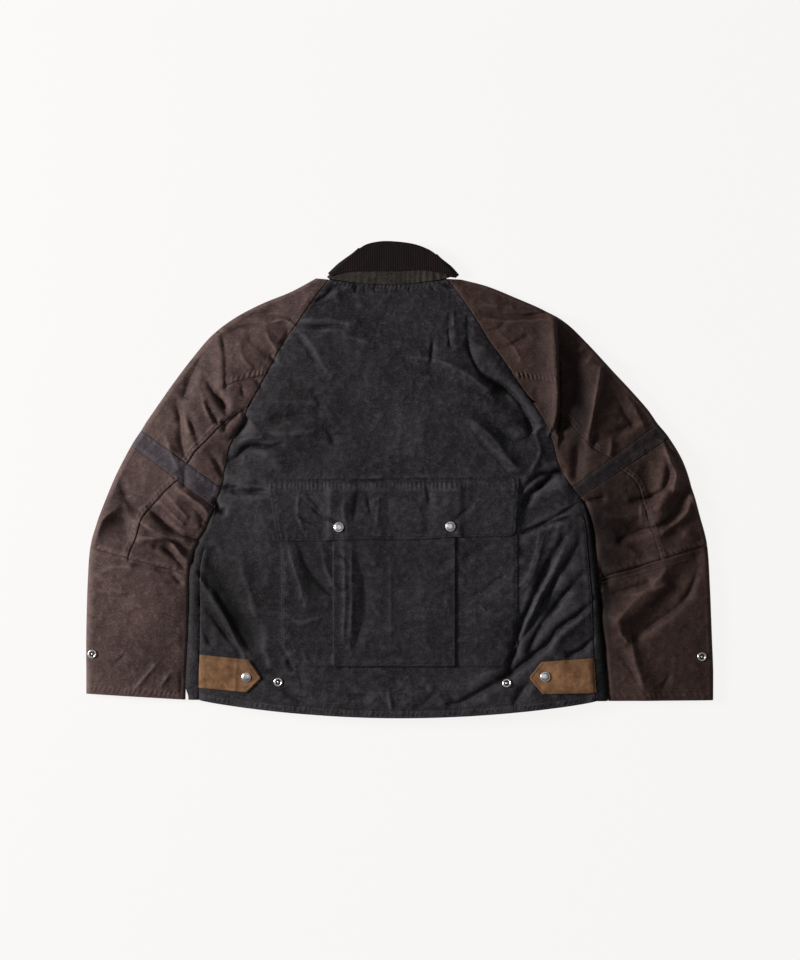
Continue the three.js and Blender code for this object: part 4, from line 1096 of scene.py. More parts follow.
def waxed(name, dark, middle, light, grain, thread_mm=0.9, dull=0.66):
    """Waxed cotton: close plain weave, blotched by the wax, paler where it has been rubbed or folded."""
    g = Graph(name)
    along = g.turned(grain)
    slubs = g.noise(60, 4, 0.6, g.turned(grain, (1, 9, 1)))
    blotch = g.noise(19, 5, 0.62, distortion=0.5)
    mottle = g.noise(110, 6, 0.68)
    speck = g.noise(480, 4, 0.75)
    lint = g.noise(330, 2, 0.4)
    cracks = g.edges(48, g.turned(grain + 20, (1, 1.6, 1)))
    colour = g.blend(g.span(blotch, 0.34, 0.68), dark, middle)
    colour = g.blend(g.span(mottle, 0.46, 0.72, 0, 0.34), colour, light)
    colour = g.blend(g.span(slubs, 0.5, 0.72, 0, 0.14), colour, light)
    colour = g.blend(g.span(slubs, 0.5, 0.3, 0, 0.2), colour, dark)
    colour = g.blend(g.span(speck, 0.5, 0.72, 0, 0.65), colour, light)
    colour = g.blend(g.span(speck, 0.5, 0.3, 0, 0.5), colour, dark)
    colour = g.blend(g.span(lint, 0.68, 0.76, 0, 0.8), colour, light)
    crack_line = g.calc("MULTIPLY", g.span(cracks, 0.0, 0.05, 1, 0), g.span(blotch, 0.45, 0.62))
    worn = g.calc("MULTIPLY", g.value("worn"), g.span(mottle, 0.3, 0.6, 0.35, 1.0))
    colour = g.blend(g.calc("MULTIPLY", worn, 0.5, True), colour, light)
    colour = g.blend(g.calc("MULTIPLY", crack_line, 0.18), colour, light)
    weave = g.calc("MULTIPLY", g.bands(thread_mm, "X", along, 0.6), g.bands(thread_mm, "Y", along, 0.6))
    normal = g.bump(weave, 0.05, 0.5)
    normal = g.bump(speck, 0.34, 0.8, normal)
    normal = g.bump(slubs, 0.7, 0.7, normal)
    normal = g.bump(mottle, 0.9, 0.6, normal)
    normal = g.bump(g.calc("MULTIPLY", crack_line, -1.0), 0.2, 0.4, normal)
    rough = g.span(mottle, 0.3, 0.75, dull - 0.08, dull + 0.14)
    # The colour is multiplied by the tone values: painted shade and painted light.
    return g.finish(g.scaled(colour, g.value("tone")), rough, normal, specular=0.1)


def corduroy():
    g = Graph("corduroy_fall")
    wales = g.bands(2.7, "X", g.turned(0), 0.35)
    pile = g.noise(900, 3, 0.7)
    blotch = g.noise(30, 4, 0.6)
    colour = g.blend(g.span(wales, 0.15, 0.8), tone(11, 6, 6), tone(26, 16, 15))
    colour = g.blend(g.span(blotch, 0.4, 0.7, 0, 0.5), colour, tone(14, 11, 11))
    colour = g.blend(g.span(pile, 0.5, 0.8, 0, 0.25), colour, tone(40, 33, 32))
    normal = g.bump(wales, 0.4, 0.7)
    normal = g.bump(pile, 0.25, 0.7, normal)
    return g.finish(colour, g.span(pile, 0.3, 0.7, 0.8, 0.98), normal, specular=0.1, sheen=0.05)


def canvas():
    """The tabs: heavy waxed canvas, tan, browner where it is handled."""
    g = Graph("waxed_canvas")
    blotch = g.noise(42, 5, 0.65, distortion=0.5)
    mottle = g.noise(160, 5, 0.65)
    speck = g.noise(900, 2, 0.6)
    colour = g.blend(g.span(blotch, 0.35, 0.68), tone(90, 63, 43), tone(120, 88, 62))
    colour = g.blend(g.span(mottle, 0.5, 0.75, 0, 0.5), colour, tone(136, 103, 76))
    colour = g.blend(g.calc("MULTIPLY", g.value("worn"), 0.8), colour, tone(84, 60, 40))
    colour = g.blend(g.span(speck, 0.55, 0.8, 0, 0.4), colour, tone(92, 66, 44))
    twill = g.bands(1.1, "DIAGONAL", g.turned(8), 0.5)
    normal = g.bump(twill, 0.08, 0.5)
    normal = g.bump(mottle, 0.5, 0.6, normal)
    normal = g.bump(speck, 0.12, 0.5, normal)
    # The colour is multiplied by the tone values: painted shade and painted light.
    colour = g.scaled(colour, g.value("tone"))
    return g.finish(colour, g.span(mottle, 0.3, 0.7, 0.72, 0.9), normal, specular=0.12)


def metal(name, bright, dark, rough):
    g = Graph(name)
    scratch = g.noise(900, 2, 0.5, g.turned(30, (1, 12, 1)))
    tarnish = g.noise(300, 4, 0.6)
    colour = g.blend(g.span(tarnish, 0.45, 0.75), bright, dark)
    roughness = g.span(scratch, 0.3, 0.75, rough, rough + 0.2)
    return g.finish(colour, roughness, g.bump(scratch, 0.02, 0.4), metallic=1.0)


def thread(name, light, dark):
    g = Graph(name)
    twist = g.noise(1500, 2, 0.6)
    return g.finish(g.blend(twist, dark, light), 0.7, g.bump(twist, 0.1, 0.5), specular=0.3)


BODY_CLOTH = waxed("body_waxed_cotton", tone(19, 17, 19), tone(30, 28, 30), tone(66, 63, 66), 2)
POCKET_CLOTH = waxed("pocket_waxed_cotton", tone(20, 18, 20), tone(30, 28, 30), tone(64, 61, 64), -3)
# Left and right are lit and shaded copies of one cloth: the paler left colours are painted light from the
# window, the darker right colours painted shade.
SLEEVE_CLOTH = {
    "left": waxed("left_sleeve_waxed_cotton_painted_light", tone(46, 34, 32), tone(62, 47, 44), tone(92, 76, 72), 38),
    "right": waxed("right_sleeve_waxed_cotton_painted_shade", tone(38, 26, 23), tone(50, 36, 32), tone(74, 57, 52), -38),
}
BAND_CLOTH = {
    "left": waxed("left_band_waxed_cotton_painted_light", tone(37, 33, 36), tone(50, 45, 48), tone(80, 72, 76), 30),
    "right": waxed("right_band_waxed_cotton_painted_shade", tone(23, 18, 19), tone(32, 26, 27), tone(56, 47, 48), -30),
}
STAND_CLOTH = waxed("stand_cotton", tone(28, 24, 21), tone(42, 37, 33), tone(74, 67, 60), 90, dull=0.7)
CORDUROY = corduroy()
CANVAS_CLOTH = canvas()
BRIGHT_METAL = metal("bright_metal", tone(205, 203, 200), tone(150, 146, 142), 0.22)
DARK_METAL = metal("dark_metal", tone(70, 66, 64), tone(30, 27, 26), 0.4)
BODY_THREAD = thread("dark_thread", tone(70, 67, 70), tone(40, 38, 40))
SLEEVE_THREAD = thread("brown_thread", tone(84, 66, 61), tone(50, 38, 35))


# Sleeves.

SEAM_SHOWN = 0.16  # what shows between two pieces at a seam
ROW_SHOWN = 0.003  # the same, in rows of a sleeve table
LEAST_Z = FLOOR + 2.6  # no sleeve's upper layer comes lower than this


def round_edge(top, outward, bulge, turn, low=FLOOR):
    """A half turn at a side fold: turn 0 is on the upper layer and turn 1 on the one below it."""
    angle = np.pi * (0.5 - turn)
    half = (top[..., 2] - low) / 2
    point = points(
        top[..., 0] + outward[..., 0] * bulge * np.cos(angle),
        top[..., 1] + outward[..., 1] * bulge * np.cos(angle),
        low + half + half * np.sin(angle),
    )
    side = np.cos(angle) / np.maximum(bulge, 0.1)
    return point, points(outward[..., 0] * side, outward[..., 1] * side, np.sin(angle) / half)


def lay_relief(top):
    """Adds the relief to points of a sleeve's upper layer, and gives it back."""
    extra = relief(top[..., 0], top[..., 1])
    top[..., 2] = np.maximum(top[..., 2] + extra, LEAST_Z)
    return extra


def sleeve_section(side, t, zones):
    """The grid of a sleeve piece: its points, the way out of the cloth, and the relief in them."""
    t = np.asarray(t, float)[:, None]
    start, end = across_limits(side, t)
    grids, ways, added = [], [], []
    for zone in zones:
        kind, k = zone[0], np.asarray(zone[1], float)[None, :]
        if kind == "top":
            top = sleeve_top(side, t, mix(zone[2][:, None], zone[3][:, None], k))
            extra = lay_relief(top)
            grid, way = top, upward(top)
        elif kind == "under":
            grid = sleeve_top(side, t, mix(end, start + zone[2][:, None], k))
            grid[..., 2] = FLOOR
            way, extra = -upward(grid), np.zeros(grid.shape[:2])
        else:
            outer = kind == "outer"
            edge = sleeve_top(side, t, end if outer else start)
            lift = lay_relief(edge)
            across = sleeve(side, t)[2] * (1 if outer else -1)
            bulge = EDGE_BULGE if outer else inner_bulge(t)
            grid, way = round_edge(edge, across, bulge, k)
            extra = lift * (1 - k)
        grids.append(grid)
        ways.append(way)
        added.append(extra)
    return np.concatenate(grids, axis=1), np.concatenate(ways, axis=1), np.concatenate(added, axis=1)


TURN = np.linspace(0, 1, 10)
TURN_IN = np.linspace(0, 1, 9)
UNDERSIDE = np.linspace(0, 1, 9)


def trimmed(side, first, last, size, cut_first=ROW_SHOWN, cut_last=ROW_SHOWN):
    t = rows_at(side, first, last, size)
    t[0] += cut_first
    t[-1] -= cut_last
    return np.sort(t)


def sleeve_pieces(side):
    cloth = SLEEVE_CLOTH[side]
    size = 1.9

    def seam_gap(t):
        return SEAM_SHOWN / 2 / sleeve(side, t)[3]

    def build(part, t, zones, material, ring=False):
        grid, way, added = sleeve_section(side, t, zones)
        made = shell(
            f"cloth_sleeve_{part}_{side}", f"sleeve_{part}_{side}", grid, way, PANEL, material,
            added, ring=ring,
        )
        add_values(made, "worn", worn_at(grid, ring))
        return made

    t = trimmed(side, 0, BAND_TOP, size)
    end = across_limits(side, t)[1]
    cut = seam_across(side, t) + seam_gap(t)
    zones = [("top", steps(150, size), cut, end), ("outer", TURN[1:]), ("under", UNDERSIDE[1:], seam_gap(t))]
    build("top", t, zones, cloth)
    t = trimmed(side, WEDGE_START + 0.1, BAND_TOP, size)
    wedge_end = np.maximum(seam_across(side, t) - seam_gap(t), seam_gap(t) + 0.002)
    build("wedge", t, [("top", steps(56, size), seam_gap(t), wedge_end)], cloth)

    t = trimmed(side, BAND_TOP, UNDERARM, 1.5)
    end = across_limits(side, t)[1]
    zones = [("top", steps(150, size), seam_gap(t), end), ("outer", TURN[1:])]
    zones += [("under", UNDERSIDE[1:], seam_gap(t))]
    build("band", t, zones, BAND_CLOTH[side])

    t = trimmed(side, UNDERARM, FOREARM, size)
    start, end = across_limits(side, t)
    seam = seam_across(side, t)
    half = TURN_IN[TURN_IN >= 0.5][::-1]
    zones = [("top", steps(80, size), seam + seam_gap(t), end), ("outer", TURN[1:])]
    zones += [("under", UNDERSIDE[1:], 0 * t), ("inner", half[1:])]
    build("elbow", t, zones, cloth)
    low = np.linspace(0.495, 0, 6)
    zones = [("inner", low[:-1]), ("top", steps(90, size), start, seam - seam_gap(t))]
    build("under", t, zones, cloth)

    t = trimmed(side, FOREARM, CUFF, size, ROW_SHOWN, 0)
    start, end = across_limits(side, t)
    zones = [("top", np.linspace(0, 1, 78), start, end), ("outer", TURN[1:])]
    zones += [("under", UNDERSIDE[1:], 0 * t), ("inner", TURN_IN[::-1][1:])]
    build("forearm", t, zones, cloth, ring=True)


def worn_at(grid, ring=False):
    """How rubbed the cloth is: on crests, and beside seams."""
    rows, columns = grid.shape[:2]
    z = grid[..., 2]
    soft = z.copy()
    for _ in range(3):
        wide = np.pad(soft, 2, mode="edge")
        soft = sum(wide[a:a + rows, b:b + columns] for a in range(5) for b in range(5)) / 25
    crest = np.clip((z - soft - 0.05) / 0.5, 0, 1)
    x, y = grid[..., 0].ravel(), grid[..., 1].ravel()
    rub = np.zeros(x.shape)
    for name in ("hem", "cuff_left", "cuff_right", "raglan_left"):
        chosen = near(SEAMS[name], x, y, 6)
        if chosen.any():
            across, _, past = beside(SEAMS[name], x[chosen], y[chosen])
            rub[chosen] = np.maximum(rub[chosen], 0.55 * np.exp(-((across / 2.2) ** 2)) * (past < 4))
    worn = np.maximum(crest, rub.reshape(rows, columns))
    worn = np.where(grid[..., 2] > FLOOR + 2, worn, 0)
    return (worn[:, :-1] if ring else worn).ravel()


# The body.


def back_panel():
    rows = np.linspace(0, CUFF, 600)
    inner = sleeve("left", rows)[1]
    along = np.concatenate([[0], np.cumsum(np.linalg.norm(np.diff(inner, axis=0), axis=1))])
    t = np.interp(steps(along[-1], 2.05) * along[-1], along, rows)
    t[0] += ROW_TRIM
    u = steps(480, 2.0)[None, :]
    t = t[:, None]
    width = body_row("right", t)[0] - body_row("left", t)[0]
    gap = (SEAM_SHOWN / 2 + 0.5 * np.exp(-(((t - UNDERARM) / 0.15) ** 2))) / width
    grid = back_point(mix(gap, 1 - gap, u), t)
    added = relief(grid[..., 0], grid[..., 1])
    grid[..., 2] += added
    made = shell(
        "cloth_back_panel", "back_panel", grid, upward(grid), PANEL, BODY_CLOTH,
        added, step=4,
    )
    add_values(made, "worn", worn_at(grid))


def front_neck_y(x):
    left, right = SLEEVES["left"][0], SLEEVES["right"][0]
    side_x = np.where(x < MIDDLE_NECK_X, left[INNER_X], right[INNER_X])
    side_y = np.where(x < MIDDLE_NECK_X, left[INNER_Y], right[INNER_Y])
    out = np.maximum(0, np.abs(x - MIDDLE_NECK_X) - FRONT_LAP) / (np.abs(side_x - MIDDLE_NECK_X) - FRONT_LAP)
    return mix(FRONT_NECK_Y, side_y, np.minimum(1, out) ** 1.8)


SIDE_CONTACT = 0.15  # what is left between the body's side and the sleeve beside it
SIDE_PARTS_AT = {"left": 18.45, "right": 18.78}  # the row where they part above the hem
LAP_RAMP = 14  # over how much of its width the right front comes down from the left one
INWARD = {"left": 1, "right": -1}  # the way in x from each side to the middle


def front_edge(side, t):
    """Where a front turns up at its side: x, y, and how far the turn bulges to meet the sleeve beside it."""
    edge_x, edge_y, strip, _ = body_row(side, t)
    bulge = np.maximum(0.6, np.minimum(EDGE_BULGE, 0.6 * strip))
    edge_x = edge_x + INWARD[side] * np.where(t <= UNDERARM, SEAM_SHOWN / 2, bulge)
    beside_it = sleeve(side, np.linspace(UNDERARM, CUFF, 300))[1]
    sleeve_x = np.interp(-edge_y, -beside_it[:, 1], beside_it[:, 0])
    gap = np.maximum(0, INWARD[side] * (edge_x - sleeve_x) - bulge)
    closed = (1 - smooth((t - SIDE_PARTS_AT[side]) / 0.4)) * smooth((t - UNDERARM) / 0.35)
    return edge_x, edge_y, bulge + np.maximum(0, gap - SIDE_CONTACT) * closed


def front_flat(side, t, edge_x, edge_y):
    """A front where it lies on the table: its lap, where the right one is lifted, a ramp and the rest."""
    lap_x = mix(MIDDLE_NECK_X, MIDDLE_HEM_X, t / CUFF) + INWARD[side] * FRONT_LAP
    way = np.sign(edge_x - lap_x)
    lap_end = lap_x + way * (2 * FRONT_LAP + 2)
    lap_in = np.linspace(0, 1, 4)[None, :]
    ramp_in = np.linspace(0, 1, 6)[None, 1:]
    rest_in = np.linspace(0, 1, 12)[None, 1:]
    ramp = way * LAP_RAMP
    parts = [mix(lap_x, lap_end, lap_in), lap_end + ramp * ramp_in, mix(lap_end + ramp, edge_x, rest_in)]
    x = np.concatenate(parts, axis=1)
    out = np.abs((x - lap_x) / (edge_x - lap_x)) ** 1.5
    rows = np.asarray(SLEEVES["left"], float)
    down = (rows[0, INNER_Y] - curve(rows, t)[..., INNER_Y]) / (rows[0, INNER_Y] - rows[CUFF, INNER_Y])
    hem_y = rows[CUFF, INNER_Y] - HEM_DIP
    y = mix(mix(FRONT_NECK_Y, hem_y, down), edge_y, out)
    neck_y = mix(FRONT_NECK_Y, SLEEVES[side][0][INNER_Y], out)
    y = y + (front_neck_y(x) - neck_y) * (1 - smooth(t / 5))
    lifted = np.zeros(x.shape[1])
    if side == "right":
        lifted[:4] = 1
        lifted[4:9] = 1 - smooth(ramp_in[0])
    return points(x, y, FLOOR + LAYER * np.broadcast_to(lifted, x.shape))


def front(side):
    t = rows_at(side, 0, CUFF, 3.0)
    t[0] += ROW_TRIM
    t = np.sort(np.append(t, [UNDERARM - 0.02, UNDERARM + 0.04]))[:, None]
    edge_x, edge_y, bulge = front_edge(side, t)
    flat = front_flat(side, t, edge_x, edge_y)
    seam = back_point(np.full_like(t, 0.0 if side == "left" else 1.0), t)
    seam_x, seam_y, seam_z = seam[..., 0] - INWARD[side] * SEAM_SHOWN / 2, seam[..., 1], seam[..., 2]
    top = points(edge_x, edge_y, seam_z)
    top[..., 2] += relief(top[..., 0], top[..., 1])
    outward = points(-INWARD[side], 0, 0) + np.zeros_like(top)
    turn, turn_way = round_edge(top, outward, bulge, 1 - TURN[None, 1:])
    k = np.array([0.3, 0.6, 0.85, 1.0])[None, :]
    on_top = points(mix(edge_x, seam_x, k), mix(edge_y, seam_y, k), seam_z + 0 * k)
    on_top[..., 2] += relief(on_top[..., 0], on_top[..., 1])
    grid = np.concatenate([flat, turn, on_top], axis=1)
    ways = np.concatenate([-upward(flat), turn_way, upward(on_top)], axis=1)
    mask = np.ones((grid.shape[0] - 1, grid.shape[1] - 1), bool)
    mask[:, flat.shape[1] - 1:] = t[:-1] > UNDERARM + 0.03
    made = shell(
        f"cloth_front_{side}", f"front_{side}", grid, ways, PANEL, BODY_CLOTH,
        mask=mask,
    )
    add_values(made, "worn", np.zeros(grid[..., 0].size))


# Pocket, flap and tabs lie on the back and take its relief.

SEWN_LIFT = 1.2  # from the back's middle surface to that of a cloth sewn on it


def on_back(x, y, lift):
    return points(x, y, back_height(x, y) + relief(x, y) + lift)


PLEAT_PRESSED = 0.62  # how much of the solids' spacing is left between the pleat's cloths


def pocket_section():
    """The pocket's way across: x, level, and the way out of the cloth in x and z, at each station."""
    stations = []

    def run(start, stop, level):
        for x in np.linspace(start, stop, max(2, int(round(abs(stop - start) / 2)) + 1)):
            stations.append((x, level, 0, np.sign(stop - start)))

    def turn(x, level, side, rising):
        for angle in np.linspace(-math.pi / 2, math.pi / 2, 8)[1:-1]:
            out, up = math.cos(angle), math.sin(angle)
            at = x + side * out * LAYER / 2
            stations.append((at, level + rising * (1 + up) / 2, -rising * out, -side * up))

    left, right = POCKET["pleat"]
    under = POCKET["under"]
    run(POCKET["left"], left + under, 0)
    turn(left + under, 0, 1, 1)
    run(left + under, left, 1)
    turn(left, 1, -1, 1)
    run(left, right, 2)
    turn(right, 2, 1, -1)
    run(right, right - under, 1)
    turn(right - under, 1, -1, -1)
    run(right - under, POCKET["right"], 0)
    return np.array(stations).T


def pocket():
    x, level, way_x, way_z = (row[None, :] for row in pocket_section())
    to_corner = np.minimum(x - POCKET["left"], POCKET["right"] - x)
    bottom = POCKET["bottom"] + POCKET_CORNER[1] * np.clip(1 - to_corner / POCKET_CORNER[0], 0, 1)
    down = steps(253, 2.0)[:, None]
    y = mix(POCKET["top"], bottom, down)
    to_edge = np.minimum(to_corner, y - bottom)
    lift = SEWN_LIFT + 0.9 * smooth(to_edge / 7) + level * LAYER * PLEAT_PRESSED
    lift = lift - 0.35 * np.exp(-(((to_edge - 3.2) / 1.0) ** 2)) * (level < 0.01)
    grid = on_back(np.broadcast_to(x, y.shape), y, lift)
    way = points(np.broadcast_to(way_x, y.shape), 0, way_z)
    made = shell(
        "cloth_back_pocket", "back_pocket", grid, way, PANEL, POCKET_CLOTH
    )
    add_values(made, "worn", np.maximum(worn_at(grid), pocket_wear(x, to_edge)))


def pocket_wear(x, to_edge):
    right = POCKET["pleat"][1]
    fold = np.exp(-(((x - right) / 1.6) ** 2))
    edge = np.exp(-(((to_edge - 0.4) / 1.2) ** 2))
    return (0.4 * np.maximum(fold, edge)).ravel()


FLAP_BOTTOM = [(-183, -91.5), (-130, -92), (-59, -89.5), (30, -89.5), (81, -86), (176, -84.5)]
FLAP_ROUND = 11


def flap_outline(down, across):
    """A point of the flap, by parts of its depth and width."""
    left = FLAP["left"] + FLAP["taper"] * down**1.3
    right = FLAP["right"] - 5 * down
    x = mix(left, right, across)
    line = np.array(FLAP_BOTTOM, float)
    bottom = np.interp(x, line[:, 0], line[:, 1])
    in_corner = np.clip((x - (right - FLAP_ROUND)) / FLAP_ROUND, 0, 1)
    bottom = bottom + FLAP_ROUND * (1 - np.sqrt(np.maximum(0, 1 - 0.98 * in_corner**2)))
    return x, mix(FLAP["top"], bottom, down), left, right, bottom


def flap():
    down, across = steps(90, 1.6)[:, None], steps(374, 1.9)[None, :]
    x, y, left, right, bottom = flap_outline(down, across)
    pleat_left, pleat_right = POCKET["pleat"]
    over = smooth((x - pleat_left + 18) / 13) * smooth((pleat_right + 18 - x) / 13)
    hanging = smooth((FLAP["top"] - y) / 19)
    lift = SEWN_LIFT + 0.3 + hanging * (1.0 + LAYER * (0.75 + 2 * PLEAT_PRESSED * over))
    side_edge = np.minimum(x - left, right - x)
    low_edge = y - bottom
    to_edge = np.minimum(side_edge, low_edge)
    from_top = FLAP["top"] - y
    along = np.where(side_edge < low_edge, y, x)
    groove = -0.45 * np.exp(-(((to_edge - 3.4) / 0.9) ** 2))
    swing = 0.5 + 0.5 * np.cos(2 * np.pi * (along / 8.3 + 0.3 * np.sin(along / 17)))
    ripple = 0.3 * np.exp(-(((to_edge - 6.5) / 3.5) ** 2)) * swing
    top_groove = -0.5 * np.exp(-(((from_top - 4.5) / 1.1) ** 2))
    wave = (0.5 + 0.5 * np.cos(2 * np.pi * (x / 6.2 + 0.35 * np.sin(x / 21) + 0.2 * np.sin(x / 8)))) ** 1.8
    gathers = 1.25 * np.exp(-np.abs((from_top - 9.5) / 6.0) ** 2.2) * wave * (0.65 + 0.35 * np.sin(x / 29))
    rolled = -0.3 * smooth(1 - to_edge / 1.5) + 0.35 * smooth(1 - from_top / 3)
    grid = on_back(x, y, lift + groove + ripple + top_groove + gathers + rolled)
    made = shell(
        "cloth_pocket_flap", "pocket_flap", grid, upward(grid), DOUBLE, POCKET_CLOTH,
    )
    edge = 0.3 * np.exp(-((to_edge / 1.6) ** 2))
    add_values(made, "worn", np.maximum(worn_at(grid), np.broadcast_to(edge, x.shape).ravel()))


# The outline of each tab: start, shoulder and tip, each with its upper and lower corner.
TAB_CORNERS = {
    "left": [(-299, -262, -302, -311.5), (-225.5, -269.3, -229, -318.3), (-208.5, -294.6, -208.5, -298.4)],
    "right": [(291, -267.5, 294, -320), (211.8, -272.6, 213.2, -321), (194.3, -294.3, 194.3, -298.2)],
}


# The sides of a tab, each between two of those corners, with the start's own side last.
TAB_SIDES = [((0, 1), (1, 1)), ((0, 0), (1, 0)), ((1, 0), (2, 0)), ((1, 1), (2, 1)), ((0, 0), (0, 1))]


def tab_point(side, along, down):
    """A point of a tab: along is 0 at its start, 1 at its shoulder and 2 at its point."""
    corners = np.array(TAB_CORNERS[side], float)
    at = [np.interp(along, [0, 1, 2], corners[:, k]) for k in range(4)]
    return mix(at[0], at[2], down), mix(at[1], at[3], down)


def tab(side):
    along = np.concatenate([steps(74, 1.7), 1 + steps(26, 1.7, (0.3,))[2:]])[None, :]
    down = steps(50, 1.7)[:, None]
    x, y = tab_point(side, along, down)
    x, y = np.broadcast_arrays(x, y)
    corners = np.array(TAB_CORNERS[side], float)
    ends = []
    for first, second in TAB_SIDES:
        a = corners[first[0], 2 * first[1]:2 * first[1] + 2]
        b = corners[second[0], 2 * second[1]:2 * second[1] + 2]
        way = (b - a) / np.linalg.norm(b - a)
        ends.append(np.abs((x - a[0]) * way[1] - (y - a[1]) * way[0]))
    start_edge = ends.pop()
    to_edge = np.minimum.reduce(ends)
    sewn = smooth(1 - start_edge / 16)
    stitch = np.exp(-(((to_edge - 4.2) / 1.0) ** 2)) * (start_edge > 3)
    ridge = 0.7 * np.exp(-np.abs((start_edge - 56) / 2.6) ** 2) if side == "left" else 0
    lift = SEWN_LIFT + 0.3 + 1.1 * (1 - sewn) - 0.4 * stitch - 0.7 * smooth(1 - to_edge / 2.0) + ridge
    lift = lift + 0.5 * gradient_noise(x, y, 14, 21) + 0.3 * (0.35 - np.abs(gradient_noise(x, y, 17, 22)))
    grid = on_back(x, y, lift)
    made = shell(
        f"cloth_tab_{side}", f"tab_{side}", grid, upward(grid), DOUBLE, CANVAS_CLOTH
    )
    add_values(made, "worn", (0.9 * np.exp(-((to_edge / 1.5) ** 2)) + 0.5 * stitch).ravel())


# The collar is a flattened ring: along the front under the back, round a side, along the back and round the
# other side.

COLLAR_UPPER = 7  # the collar's upper layers lie higher than this


def ring_stations():
    half = 0.5 - SEAM_GAP / 2 / (SLEEVES["right"][0][INNER_X] - SLEEVES["left"][0][INNER_X])
    stations = [("front", half * (1 - k), 0) for k in np.linspace(0, 1, 17)]
    stations += [("turn", 0, 1 - k) for k in np.linspace(0, 1, 9)[1:-1]]
    stations += [("back", k, 0) for k in np.linspace(0, 1, 86)]
    stations += [("turn", 1, k) for k in np.linspace(0, 1, 9)[1:-1]]
    return stations + [("front", 1 - half * k, 0) for k in np.linspace(0, 1, 17)]


def collar_lines(layer, s):
    """The neck seam, the fall's edge and the roll line at s, on the back or on the front."""
    roll_x, roll_y, edge_x, edge_y = curve(COLLAR, s * (len(COLLAR) - 1))
    left, right = SLEEVES["left"][0], SLEEVES["right"][0]
    neck = np.array([mix(left[INNER_X], right[INNER_X], s), mix(left[INNER_Y], right[INNER_Y], s)])
    bow = math.sin(math.pi * min(s, 0.9999))
    edge, roll = np.array([edge_x, edge_y]), np.array([roll_x, roll_y])
    if layer == "front":
        neck[1] = front_neck_y(neck[0]) + 1.6 * SEAM_GAP
        edge = np.array([mix(edge_x, neck[0], bow), mix(edge_y, FRONT_FALL_Y, bow**2.5)])
        roll[1] -= 4 * bow
    else:
        neck[1] += SEAM_GAP - NECK_DIP * bow**0.8
    neck[1] += 1.2 * (1 - bow)
    return {"neck": neck, "edge": edge, "roll": roll}


def stand_z(layer, lines, at, s):
    up = at[1] - lines["neck"][1]
    if layer == "back":
        return FLOOR + mix(*STAND_Z, up / (lines["roll"][1] - lines["neck"][1]))
    before_fall = 0.5 * (lines["edge"][1] - lines["neck"][1])
    at_side = 1 - smooth((min(s, 1 - s) - 0.12) / 0.15)
    return FLOOR + LAYER * max(at_side, smooth(up / before_fall))


def collar_point(station, start, reach, beyond, lift):
    """A point from the neck seam or the fall's edge to the roll line and beyond, lift outside the stand."""
    layer, s, turn = station

    def put(layer):
        lines = collar_lines(layer, s)
        way = lines["roll"] - lines[start]
        length = np.linalg.norm(way)
        way = way / length
        at = lines[start] + way * (reach * (length - ROLL_DEPTH) + beyond)
        return at, way, stand_z(layer, lines, at, s)

    if layer != "turn":
        at, way, z = put(layer)
        up = 1 if layer == "back" else -1
        return np.array([at[0], at[1], z + up * lift]), np.array([0, 0, up]), way
    at, way, z = put("back")
    low = put("front")[2]
    across = np.array([[way[1], -way[0], 0]]) * (-1 if s == 0 else 1)
    top = np.array([[at[0], at[1], z + lift]])
    flatter = smooth((reach - 0.25) / 0.75)
    bulge = COLLAR_BULGE * mix(1, 0.08, flatter) + lift * mix(1, 0.5, flatter)
    point, out = round_edge(top, across, bulge, np.array([turn]), low - lift)
    return point[0], out[0] / np.linalg.norm(out[0]), way


def collar_stand():
    ring = ring_stations()
    grid, ways = [], []
    for reach in np.linspace(0, 1, 9):
        made = [collar_point(station, "neck", reach, -SEAM_GAP if reach == 1 else 0, 0) for station in ring]
        grid.append([m[0] for m in made])
        ways.append([m[1] for m in made])
    grid = np.array(grid)
    tucks = 0.5 * np.cos(2 * np.pi * (grid[..., 0] / 8.3 + 0.5 * np.sin(grid[..., 0] / 17)))
    grid[..., 2] += (collar_relief(grid) + tucks) * (grid[..., 2] > COLLAR_UPPER)
    made = shell(
        "cloth_collar_stand", "collar_stand", grid, np.array(ways), PANEL, STAND_CLOTH,
        step=1,
    )
    add_values(made, "worn", np.zeros(grid[..., 0].size))


def collar_relief(grid):
    x, y = grid[..., 0], grid[..., 1]
    return 0.5 * (1.1 * gradient_noise(x, y, 19, 31) + 0.5 * gradient_noise(x, y, 8, 32))


FALL_STITCH = 6  # how far its stitching is from the fall's edge


def collar_fall():
    ring = ring_stations()
    flat = np.unique(np.concatenate([np.linspace(0, 1, 22), [0.01, 0.03]]))
    grid, ways = [], []
    for reach in flat:
        made = [collar_point(station, "edge", reach, 0, LAYER) for station in ring]
        grid.append([m[0] for m in made])
        ways.append([m[1] for m in made])
    for angle in np.linspace(math.pi / 2, -math.pi / 2, 8)[1:]:
        beyond, lift = LAYER / 2 * math.cos(angle), LAYER / 2 * (1 + math.sin(angle))
        line, turned = [], []
        for station in ring:
            point, out, way = collar_point(station, "edge", 1, beyond, lift)
            line.append(point)
            turned.append(np.array([way[0], way[1], 0]) * math.cos(angle) + out * math.sin(angle))
        grid.append(line)
        ways.append(turned)
    grid, ways = np.array(grid), np.array(ways)
    on_top = grid[..., 2] > COLLAR_UPPER
    height = collar_relief(grid)
    from_edge = np.linalg.norm(grid - grid[:1], axis=2)
    wave = 0.5 + 0.5 * np.cos(2 * np.pi * grid[..., 0] / 6.5)
    height -= 0.7 * np.exp(-(((from_edge - FALL_STITCH) / 1.1) ** 2))
    height += 0.35 * np.exp(-(((from_edge - 2.5) / 2.5) ** 2)) * wave
    grid[..., 2] += height * on_top
    made = shell(
        "cloth_collar_fall", "collar_fall", grid, ways, PANEL, CORDUROY,
        step=1,
    )
    add_values(made, "worn", np.zeros(grid[..., 0].size))


# Snaps and ring studs are turned round their own axes.

